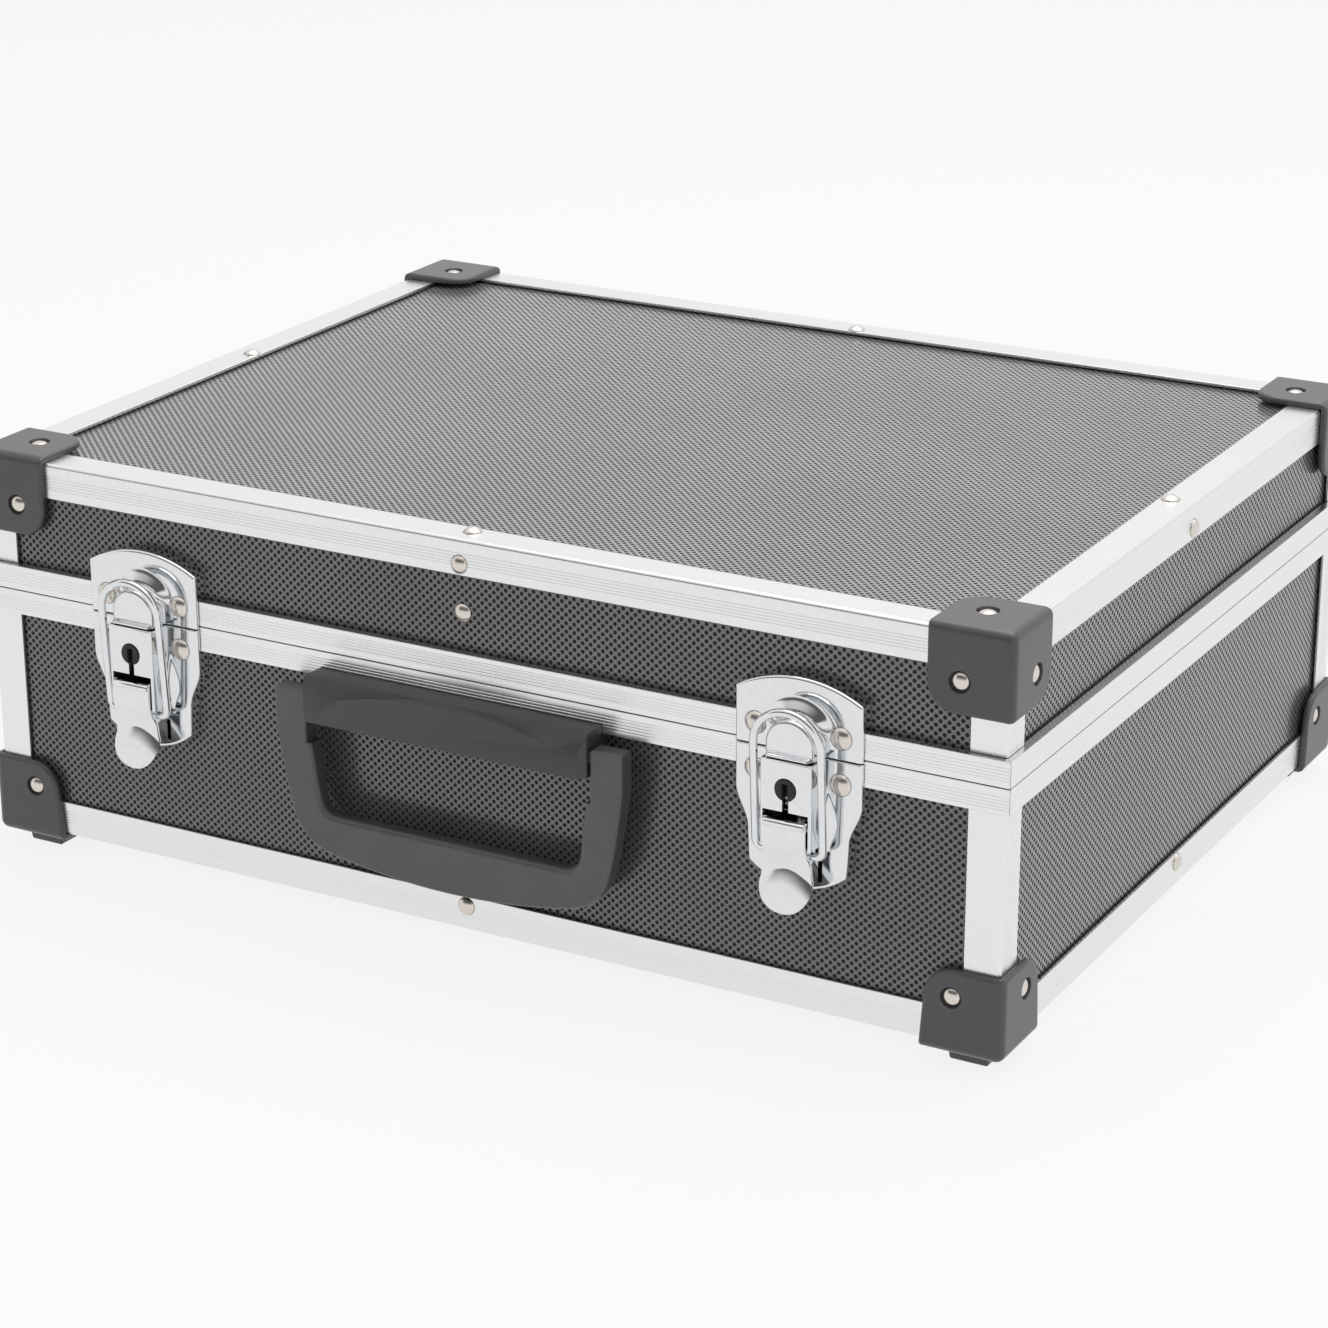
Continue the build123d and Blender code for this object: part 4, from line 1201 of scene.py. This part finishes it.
# %% Housing of the lock, with its window and keyhole
housing_half, housing_face, housing_foot = 9.9, 13.5, -33.5
window_top, plug_up, plug_bore, key_half = -20.2, -11.8, 4.1, 1.15
slot_aside, slot_half, slot_top, slot_low = 9.2, 0.85, -39.5, -48.0


def housing():
    back = -plate_face + 0.6
    shape = block_shape((-housing_half, -housing_face, housing_foot), (housing_half, back, lock_top))
    front = []
    for edge in shape.edges:
        foremost = all(v.co.y < -housing_face + 0.01 for v in edge.verts)
        at_foot = all(v.co.z < housing_foot + 1 for v in edge.verts)
        if foremost and not at_foot:
            front.append(edge)
    round_edges(shape, front, 0.9, 4)
    piece = object_of("housing", shape)
    inner = housing_half - sheet
    chamber = block_shape((-inner, -housing_face + sheet, housing_foot - 1), (inner, 0.0, lock_top - sheet))
    window = block_shape((-inner, -housing_face - 2, housing_foot - 1), (inner, 0.0, window_top))
    before, behind = -housing_face - 2, -housing_face + 3
    bore = prism(circle(plug_bore, 0.0, plug_up), before, behind, 1)
    key_low = window_top - 1
    slit = [(-key_half, plug_up), (key_half, plug_up), (key_half, key_low), (-key_half, key_low)]
    key = prism(slit, before, behind, 1)
    cut(piece, *[object_of("tool", tool) for tool in (chamber, window, bore, key)])
    soften(piece, 0.25)
    for finish in (latch_nickel, lock_black):
        piece.data.materials.append(finish)
    # Faces inside the chamber take the black of the plug: painted shade, so the window and the keyhole look
    # dark inside.
    for face in piece.data.polygons:
        middle = face.center
        in_painted_shade = abs(middle.x) < inner + 0.02 and -housing_face + sheet - 0.02 < middle.y
        if in_painted_shade and middle.z < lock_top - sheet + 0.02:
            face.material_index = 1
    return piece


def relief_slot(aside):
    """Slot with round ends beside the lever's spoon."""
    turns = [math.pi * n / 8 for n in range(9)]
    ends = [(aside + slot_half * math.cos(t), slot_top - slot_half + slot_half * math.sin(t)) for t in turns]
    ends += [(aside - slot_half * math.cos(t), slot_low + slot_half - slot_half * math.sin(t)) for t in turns]
    return object_of("slot", prism(ends, -plate_face - 1, 0.0, 1))


# %% Keepers, lock plates and plugs
def gathered(name, pieces, places, *materials):
    """One piece that repeats some shapes at each latch; the shapes are used up."""
    whole = bmesh.new()
    for x in places:
        for part in pieces:
            copy = part.data.copy()
            copy.transform(Matrix.Translation((x, front_face, seam)))
            whole.from_mesh(copy)
            bpy.data.meshes.remove(copy)
    for part in pieces:
        bpy.data.objects.remove(part)
    bmesh.ops.scale(whole, vec=(MM, MM, MM), verts=whole.verts)
    mesh = bpy.data.meshes.new(name)
    whole.to_mesh(mesh)
    whole.free()
    piece = bpy.data.objects.new(name, mesh)
    scene.collection.objects.link(piece)
    for material in materials:
        mesh.materials.append(material)
    shade(piece, 50)
    print(name, "faces", len(piece.data.polygons))
    return piece


both = list(latch_places.values())
keepers = gathered("latch_keepers", [skin("keeper", keeper_lines(), keeper_height, low=keeper_foot)], both,
                   latch_nickel)
stand_in(keepers, "lid", "keepers")
plate_skin = skin("lock_plate", lock_lines(), lock_height, high=lock_top)
cut(plate_skin, relief_slot(-slot_aside), relief_slot(slot_aside))
plates = gathered("latch_lock_plates", [plate_skin, housing()], both, latch_nickel, lock_black)
stand_in(plates, "base", "lock_plates")
for hand in latch_places:
    plug = rounded_copy(f"lock_plug_{hand}", f"key_plug_{hand}", lock_black, even(0.25 * MM), 2)
    stand_in(plug, f"plug_{hand}", f"lock_plug_{hand}")
dress("lever_pins", latch_nickel)

# %% [markdown]
# ## Levers
#
# The lever is one strip of sheet. It is rolled into a barrel at its top, bent
# at the knee, and spread into a spoon whose end flares out for the thumb. The
# solid is a bent plate, so the strip is drawn again here as a grid: rows follow
# the bend seen from the side, and the width of a row follows the outline seen
# from the front. Solidify then gives the sheet its thickness.

# %% Shape of a lever
lever_run = [(13.9, 23.4), (14.0, 24.5), (14.3, 28.0), (13.9, 32.5), (12.5, 36.6),
             (11.6, 40.4), (11.25, 43.6), (11.1, 47.0), (11.1, 52.0), (11.1, 57.6)]
lever_half_top, lever_half_knee, lever_half_spoon = 8.4, 9.5, 10.0
flare_start, flare_curve, flare_length, flare_slope = 41.5, 0.05, 13.5, 0.52


def through(points, rows):
    """Evenly counted places on a smooth line through the points."""
    padded_points = [points[0], *points, points[-1]]
    placed = []
    for row in range(rows):
        share = row / (rows - 1) * (len(points) - 1)
        start = min(int(share), len(points) - 2)
        t = share - start
        a, b, c, d = (Vector(p) for p in padded_points[start:start + 4])
        placed.append(0.5 * ((2 * b) + (c - a) * t + (2 * a - 5 * b + 4 * c - d) * t * t
                             + (3 * b - a - 3 * c + d) * t ** 3))
    return placed


def lever_half_width(drop):
    spoon = lever_run[-1][1] - lever_half_spoon
    half = lever_half_top + (lever_half_knee - lever_half_top) * smoothstep(drop, 35.0, 39.5)
    half += (lever_half_spoon - lever_half_knee) * smoothstep(drop, 42.0, spoon)
    if drop > spoon:
        half = math.sqrt(max(0.6, lever_half_spoon ** 2 - (drop - spoon) ** 2))
    return half


def sheet_strip(x_middle, rows=80, columns=28):
    shape = bmesh.new()
    line = through(lever_run, rows)
    grid = []
    for out, drop in line:
        half = lever_half_width(drop)
        row = []
        for column in range(columns + 1):
            aside = half * math.sin(math.pi * (column / columns - 0.5))
            below = min(max(0.0, drop - flare_start - flare_curve * aside ** 2), flare_length)
            flared = flare_slope * below * (1.0 - below / (2.0 * flare_length))
            corner = Vector((x_middle + aside, front_face - out - flared, seam - drop))
            row.append(shape.verts.new(corner * MM))
        grid.append(row)
    for upper, lower in zip(grid, grid[1:]):
        for column in range(columns):
            shape.faces.new((upper[column], lower[column], lower[column + 1], upper[column + 1]))
    return shape


# %% Levers with their barrels and ears
pivot, bail_eye, ear_radius = (11.5, 25.5), (9.8, 36.0), 3.2
barrel, barrel_radius = (14.0, 24.3), 1.5


def round_bar(x_low, x_high, out, drop, radius, sides=20):
    """Bar that lies from left to right, with its rim slightly rounded."""
    shape = bmesh.new()
    length = x_high - x_low
    place = Matrix.Translation(Vector(((x_low + x_high) / 2, front_face - out, seam - drop)) * MM)
    bmesh.ops.create_cone(shape, cap_ends=True, segments=sides, radius1=radius * MM, radius2=radius * MM,
                          depth=length * MM, matrix=place @ Matrix.Rotation(math.pi / 2, 4, "Y"))
    rim = [e for e in shape.edges if e.calc_face_angle(0.0) > 1.0]
    bmesh.ops.bevel(shape, geom=rim, offset=0.25 * MM, segments=2, affect="EDGES", profile=0.5)
    return shape


def ear(x_low, thickness):
    """Flat ear between the lever's pin and the bail, seen from the side."""
    shape = bmesh.new()
    (out_a, drop_a), (out_b, drop_b) = pivot, bail_eye
    heading = math.atan2(drop_b - drop_a, out_b - out_a)
    outline = []
    for number in range(13):
        angle = heading + math.pi / 2 + math.pi * number / 12
        outline.append((out_a + ear_radius * math.cos(angle), drop_a + ear_radius * math.sin(angle)))
    for number in range(13):
        angle = heading - math.pi / 2 + math.pi * number / 12
        outline.append((out_b + ear_radius * math.cos(angle), drop_b + ear_radius * math.sin(angle)))
    ring = [shape.verts.new(Vector((x_low, front_face - out, seam - drop)) * MM) for out, drop in outline]
    plate = shape.faces.new(ring)
    grown = bmesh.ops.extrude_face_region(shape, geom=[plate])
    moved = [v for v in grown["geom"] if isinstance(v, bmesh.types.BMVert)]
    bmesh.ops.translate(shape, verts=moved, vec=(thickness * MM, 0, 0))
    bmesh.ops.recalc_face_normals(shape, faces=shape.faces)
    return shape


def joined(name, shapes, material):
    """One mesh from several closed shapes, with outward faces."""
    mesh = bpy.data.meshes.new(name)
    whole = bmesh.new()
    for shape in shapes:
        part = bpy.data.meshes.new("part")
        bmesh.ops.recalc_face_normals(shape, faces=shape.faces)
        shape.to_mesh(part)
        shape.free()
        whole.from_mesh(part)
        bpy.data.meshes.remove(part)
    whole.to_mesh(mesh)
    whole.free()
    for polygon in mesh.polygons:
        polygon.use_smooth = True
    mesh.set_sharp_from_angle(angle=math.radians(40))
    return linked(name, mesh, material)


def lever(hand):
    x = latch_places[hand]
    strip = sheet_strip(x)
    mesh = bpy.data.meshes.new("strip")
    strip.to_mesh(mesh)
    strip.free()
    flat = linked("strip", mesh, latch_nickel)
    wall = flat.modifiers.new("sheet", "SOLIDIFY")
    wall.thickness = sheet * MM
    wall.offset = 0.0
    edge = flat.modifiers.new("edge", "BEVEL")
    edge.width = 0.3 * MM
    edge.segments = 2
    edge.limit_method = "ANGLE"
    edge.angle_limit = math.radians(50)
    settled(flat)
    shape = bmesh.new()
    shape.from_mesh(flat.data)
    bpy.data.objects.remove(flat)
    half = lever_half_top
    rolled = round_bar(x - half + 0.5, x + half - 0.5, *barrel, barrel_radius)
    shapes = [shape, rolled, ear(x - half, sheet), ear(x + half - sheet, sheet)]
    piece = joined(f"draw_lever_{hand}", shapes, latch_nickel)
    stand_in(piece, f"lever_{hand}", f"latch_lever_{hand}")
    print(piece.name, "faces", len(piece.data.polygons))


for hand in latch_places:
    lever(hand)

# %% [markdown]
# ## Bails
#
# The bail is a round wire bent into an arch. Its feet turn inward through the
# ears of the lever. A curve with a round bevel is the natural way to make bent
# wire: the line gives the bends, and the bevel gives the thickness.

# %% Bails
bail_wire, bail_half, bail_bend, bail_tip = 1.5, 13.0, 2.6, 6.9
bail_rise, bail_forward = 39.5, 3.5
bail_lean = math.atan2(bail_forward, bail_rise + bail_half)


def bail_line():
    """Places along the wire, across and up in the plane of the bail."""
    arm = bail_rise / math.cos(bail_lean)
    corner = [(-bail_half + bail_bend * (1 - math.sin(a)), bail_bend * (1 - math.cos(a)))
              for a in [math.pi / 2 * n / 7 for n in range(8)]]
    foot = [(-bail_tip, 0.0), (-bail_tip - 1.5, 0.0)]
    left = [*foot, *corner, (-bail_half, arm * 0.35), (-bail_half, arm * 0.7)]
    turns = [math.pi * n / 28 for n in range(29)]
    arch = [(-bail_half * math.cos(a), arm + bail_half * math.sin(a)) for a in turns]
    right = [(-across, up) for across, up in reversed(left)]
    return left + arch + right


def bail(hand):
    line = bpy.data.curves.new(f"bail_{hand}_line", "CURVE")
    line.dimensions = "3D"
    line.bevel_depth = bail_wire * MM
    line.bevel_resolution = 4
    line.use_fill_caps = True
    spline = line.splines.new("POLY")
    points = bail_line()
    eye_out, eye_drop = bail_eye
    spline.points.add(len(points) - 1)
    for point, (across, up) in zip(spline.points, points):
        out = eye_out + up * math.sin(bail_lean)
        height = seam - eye_drop + up * math.cos(bail_lean)
        point.co = (*(Vector((latch_places[hand] + across, front_face - out, height)) * MM), 1.0)
    drawn = bpy.data.objects.new(f"bail_{hand}_line", line)
    scene.collection.objects.link(drawn)
    mesh = bpy.data.meshes.new_from_object(drawn.evaluated_get(bpy.context.evaluated_depsgraph_get()))
    bpy.data.objects.remove(drawn)
    shape = bmesh.new()
    shape.from_mesh(mesh)
    bmesh.ops.remove_doubles(shape, verts=shape.verts, dist=0.001 * MM)
    piece = joined(f"wire_bail_{hand}", [shape], latch_nickel)
    stand_in(piece, f"bail_{hand}", f"latch_bail_{hand}")
    print(piece.name, "faces", len(piece.data.polygons))


for hand in latch_places:
    bail(hand)

# %% [markdown]
# ## Handle and hinges
#
# The handle is moulded plastic. Seen from the front it is one closed outline:
# two arms, a bowed grip and a window for the hand. The outline is drawn with
# straight runs, bows and turned corners, made as thick as the handle, and its
# edges are rounded most where the hand goes. The mount behind it and the
# stamped leaves of the hinges are rounded copies of the solid pieces.

# %% Outline of the handle, in millimetres below the seam
arm_inner, arm_outer, arm_top, arm_straight = 60.5, 73.8, 12.5, 26.0
belly_out, belly_drop, side_foot, side_drop = 70.3, 49.6, 64.8, 73.2
notch_drop, notch_inner, window_half, window_drop, grip_drop = 33.0, 58.5, 54.6, 60.7, 81.3
handle_front, handle_back = 12.5, 5.0
outer_corner, inner_corner = 13.0, 5.2
arm_round, side_round, window_round, grip_round = 0.8, 1.2, 1.5, 2.7
top_round, small_round = 1.3, 0.4


def bow(first, middle, last, steps):
    """Points on the circle through three points, from the first to the last."""
    (ax, ay), (bx, by), (cx, cy) = first, middle, last
    twice = 2 * (ax * (by - cy) + bx * (cy - ay) + cx * (ay - by))
    a, b, c = ax * ax + ay * ay, bx * bx + by * by, cx * cx + cy * cy
    x = (a * (by - cy) + b * (cy - ay) + c * (ay - by)) / twice
    y = (a * (cx - bx) + b * (ax - cx) + c * (bx - ax)) / twice
    radius = math.hypot(ax - x, ay - y)
    start, end = math.atan2(ay - y, ax - x), math.atan2(cy - y, cx - x)
    turn = (end - start + math.pi) % (2 * math.pi) - math.pi
    turns = [start + turn * n / steps for n in range(steps + 1)]
    return [(x + radius * math.cos(angle), y + radius * math.sin(angle)) for angle in turns]


def turned_corner(line, corner, reach, steps=10):
    """The line with its points near the corner replaced by a smooth turn."""
    near = [n for n, point in enumerate(line) if math.dist(point, corner) < reach]
    before, after = line[near[0] - 1], line[near[-1] + 1]
    turn = []
    for number in range(1, steps):
        t = number / steps
        turn.append(tuple((1 - t) ** 2 * before[i] + 2 * t * (1 - t) * corner[i] + t * t * after[i]
                          for i in (0, 1)))
    return line[:near[0]] + turn + line[near[-1] + 1:]


def straight_run(first, last, steps):
    return [tuple(first[i] + (last[i] - first[i]) * n / steps for i in (0, 1)) for n in range(1, steps)]


def handle_half():
    """Right half of the outline, from the middle of the underside to that of the window."""
    side = (side_foot, -side_drop)
    half_way = (side_foot * 0.5, -grip_drop + (grip_drop - side_drop) * 0.25)
    under = bow((0.0, -grip_drop), half_way, side, 24)
    outside = bow(side, (belly_out, -belly_drop), (arm_outer, -arm_straight), 24)
    line = turned_corner(under + outside[1:], side, outer_corner)
    line += [(arm_outer, -arm_top), (arm_inner, -arm_top)]
    line += [(arm_inner, -notch_drop), (notch_inner, -notch_drop)]
    corner = (window_half, -window_drop)
    inside = straight_run((notch_inner, -notch_drop), corner, 14) + [corner]
    inside += straight_run(corner, (0.0, -window_drop), 24)
    line += turned_corner(inside, corner, inner_corner)
    return line + [(0.0, -window_drop)]


def handle_radius(vertices):
    """Rounding of an edge of the front or the back, by where it lies."""
    across, up = (abs(sum(v.co[i] for v in vertices) / 2) for i in (0, 2))
    if across > arm_inner - 3.0 and up < notch_drop + 0.5:
        return arm_round
    in_window = up < window_drop + 0.2 and across < notch_inner + 0.1
    if in_window:
        return window_round if up < window_drop - 9.0 else grip_round
    return side_round


# %% Handle and its mount
half_line = handle_half()
outline = half_line + [(-across, up) for across, up in reversed(half_line[1:-1])]
shape = prism(outline, -handle_front, -handle_back, 1)
weight = shape.edges.layers.float.new("bevel_weight_edge")
for edge in shape.edges:
    level = [v.co.y for v in edge.verts]
    upright = abs(level[0] - level[1]) > 1.0
    if not upright:
        edge[weight] = handle_radius(edge.verts) / grip_round
    elif edge.calc_face_angle(0.0) > 1.0:
        at_top = min(abs(v.co.z) for v in edge.verts) < arm_top + 1.0
        edge[weight] = (top_round if at_top else small_round) / grip_round
grip = object_of("carrying_handle", shape)
grip.data.transform(Matrix.Translation((0.0, front_face, seam)))
grip.data.transform(Matrix.Scale(MM, 4))
grip.data.materials.append(handle_plastic)
bevel = grip.modifiers.new("round", "BEVEL")
bevel.limit_method = "WEIGHT"
bevel.width = grip_round * MM
bevel.segments = 5
bevel.use_clamp_overlap = False
settled(grip)
shade(grip, 50)
stand_in(grip, "handle", "handle_loop")
mount = rounded_copy("handle_mount", "handle_bracket", mount_plastic, even(0.7 * MM))
stand_in(mount, "base", "handle_mount")
print("carrying_handle faces", len(grip.data.polygons))

# %% Hinges
for half in ("base", "lid"):
    leaves = rounded_copy(f"hinge_{half}_leaves", f"{half}_hinge_leaves", hinge_steel, even(0.25 * MM), 2)
    stand_in(leaves, half, f"hinge_{half}_leaves")
for node in ("hinge_pins", "handle_pins"):
    dress(node, hinge_steel)

# %% [markdown]
# ## Foam
#
# The base is filled with cut foam, and the lid with foam whose underside is
# waved like an egg box. In the upper block of the base, pockets with a wide end
# for the head of a microphone are cut from one block, and a long tray for
# cables lies behind them. The waves of the lid follow a rule, so Geometry Nodes
# make them: a block with a fine grid is pushed up by the product of two cosines.

# %% Foam of the base, in millimetres
foam_margin = 20.0
pocket_count = 6
pocket_pitch = 64.0
pocket_length = 188.0
pocket_half = 19.0
head_length = 62.0
head_half = 27.0
pocket_deep = 46.0
tray_half = 186.0
tray_wide = 62.0
foam_edge, pad_edge = 1.2, 1.5
past_top = 9.0


def pocket(middle, front, floor):
    """Straight slot with a wide end, drawn up from its floor."""
    shoulder = front + pocket_length - head_length
    back = front + pocket_length
    half_way = [(pocket_half, front), (pocket_half, shoulder), (head_half, shoulder), (head_half, back)]
    outline = [(middle + x, y) for x, y in half_way] + [(middle - x, y) for x, y in reversed(half_way)]
    return prism(outline, floor, floor + 2 * pocket_deep, 2)


pad = rounded_copy("foam_pad", "foam_base_pad", case_foam, even(pad_edge * MM))
stand_in(pad, "base", "foam_pad")
low, high = (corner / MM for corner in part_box("foam_insert"))
floor_level = high.z - pocket_deep
tray_back = high.y - foam_margin
tray_corner = (-tray_half, tray_back - tray_wide, floor_level)
tools = [block_shape(tray_corner, (tray_half, tray_back, high.z + past_top))]
for number in range(pocket_count):
    middle = pocket_pitch * (number - (pocket_count - 1) / 2)
    tools.append(pocket(middle, low.y + foam_margin, floor_level))
insert = object_of("foam_pocket_block", block_shape(low, high))
cut(insert, *[object_of("pocket", tool) for tool in tools])
soften(insert, foam_edge, 3)
insert.data.transform(Matrix.Scale(MM, 4))
insert.data.materials.append(case_foam)
shade(insert)
stand_in(insert, "base", "foam_insert")
print(insert.name, "faces", len(insert.data.polygons))

# %% Waved foam of the lid
waves = Graph("egg_box_foam", {
    "Start": ("Geometry", None), "Size": ("Vector", (0.4, 0.3, 0.03)),
    "Middle": ("Vector", (0.0, 0.0, 0.0)),
    "Pitch": ("Float", 30 * MM), "Wave depth": ("Float", 9 * MM), "Finish": ("Material", None)})
block = waves.node("GeometryNodeMeshCube", {
    "Size": waves.given("Size"), "Vertices X": 150, "Vertices Y": 114, "Vertices Z": 3})
place = waves.node("GeometryNodeInputPosition").outputs[0]
apart = waves.node("ShaderNodeSeparateXYZ", {0: place})
turns = waves.maths("DIVIDE", 2 * math.pi, waves.given("Pitch"))
wave_x = waves.maths("COSINE", waves.maths("MULTIPLY", apart.outputs["X"], turns))
wave_y = waves.maths("COSINE", waves.maths("MULTIPLY", apart.outputs["Y"], turns))
height = waves.maths("MULTIPLY", waves.maths("ADD", waves.maths("MULTIPLY", wave_x, wave_y), 1.0), 0.5)
under = waves.maths("LESS_THAN", apart.outputs["Z"], -1 * MM)
rise = waves.maths("MULTIPLY", waves.maths("MULTIPLY", height, under), waves.given("Wave depth"))
pushed = waves.node("ShaderNodeCombineXYZ", {2: rise}).outputs[0]
waved = waves.node("GeometryNodeSetPosition", {"Geometry": block.outputs["Mesh"], "Offset": pushed})
placed = waves.node("GeometryNodeTransform", {
    "Geometry": waved.outputs[0], "Translation": waves.given("Middle")})
smooth = waves.node("GeometryNodeSetShadeSmooth", {0: placed.outputs[0]})
solid = waves.node("GeometryNodeRealizeInstances", {0: smooth.outputs[0]})
finished = waves.node("GeometryNodeSetMaterial", {
    "Geometry": solid.outputs[0], "Material": waves.given("Finish")})
waves.shape(finished.outputs[0])

low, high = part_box("lid_foam")
lid_foam = bpy.data.objects.new("foam_waved_lid", bpy.data.meshes.new("foam_waved_lid"))
scene.collection.objects.link(lid_foam)
waves.grow(lid_foam, Size=tuple(high - low), Middle=tuple((low + high) / 2), Finish=case_foam)
stand_in(lid_foam, "lid", "lid_foam")
print(lid_foam.name, "faces", len(lid_foam.data.polygons))

# %% [markdown]
# ## Size
#
# The dressed case should be as large as the solid one. Both boxes are written
# down, so that they can be compared after each change.

# %% Write the dressed size and finish
low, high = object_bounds()
print("dressed size in mm", [round(c / MM, 1) for c in high - low])
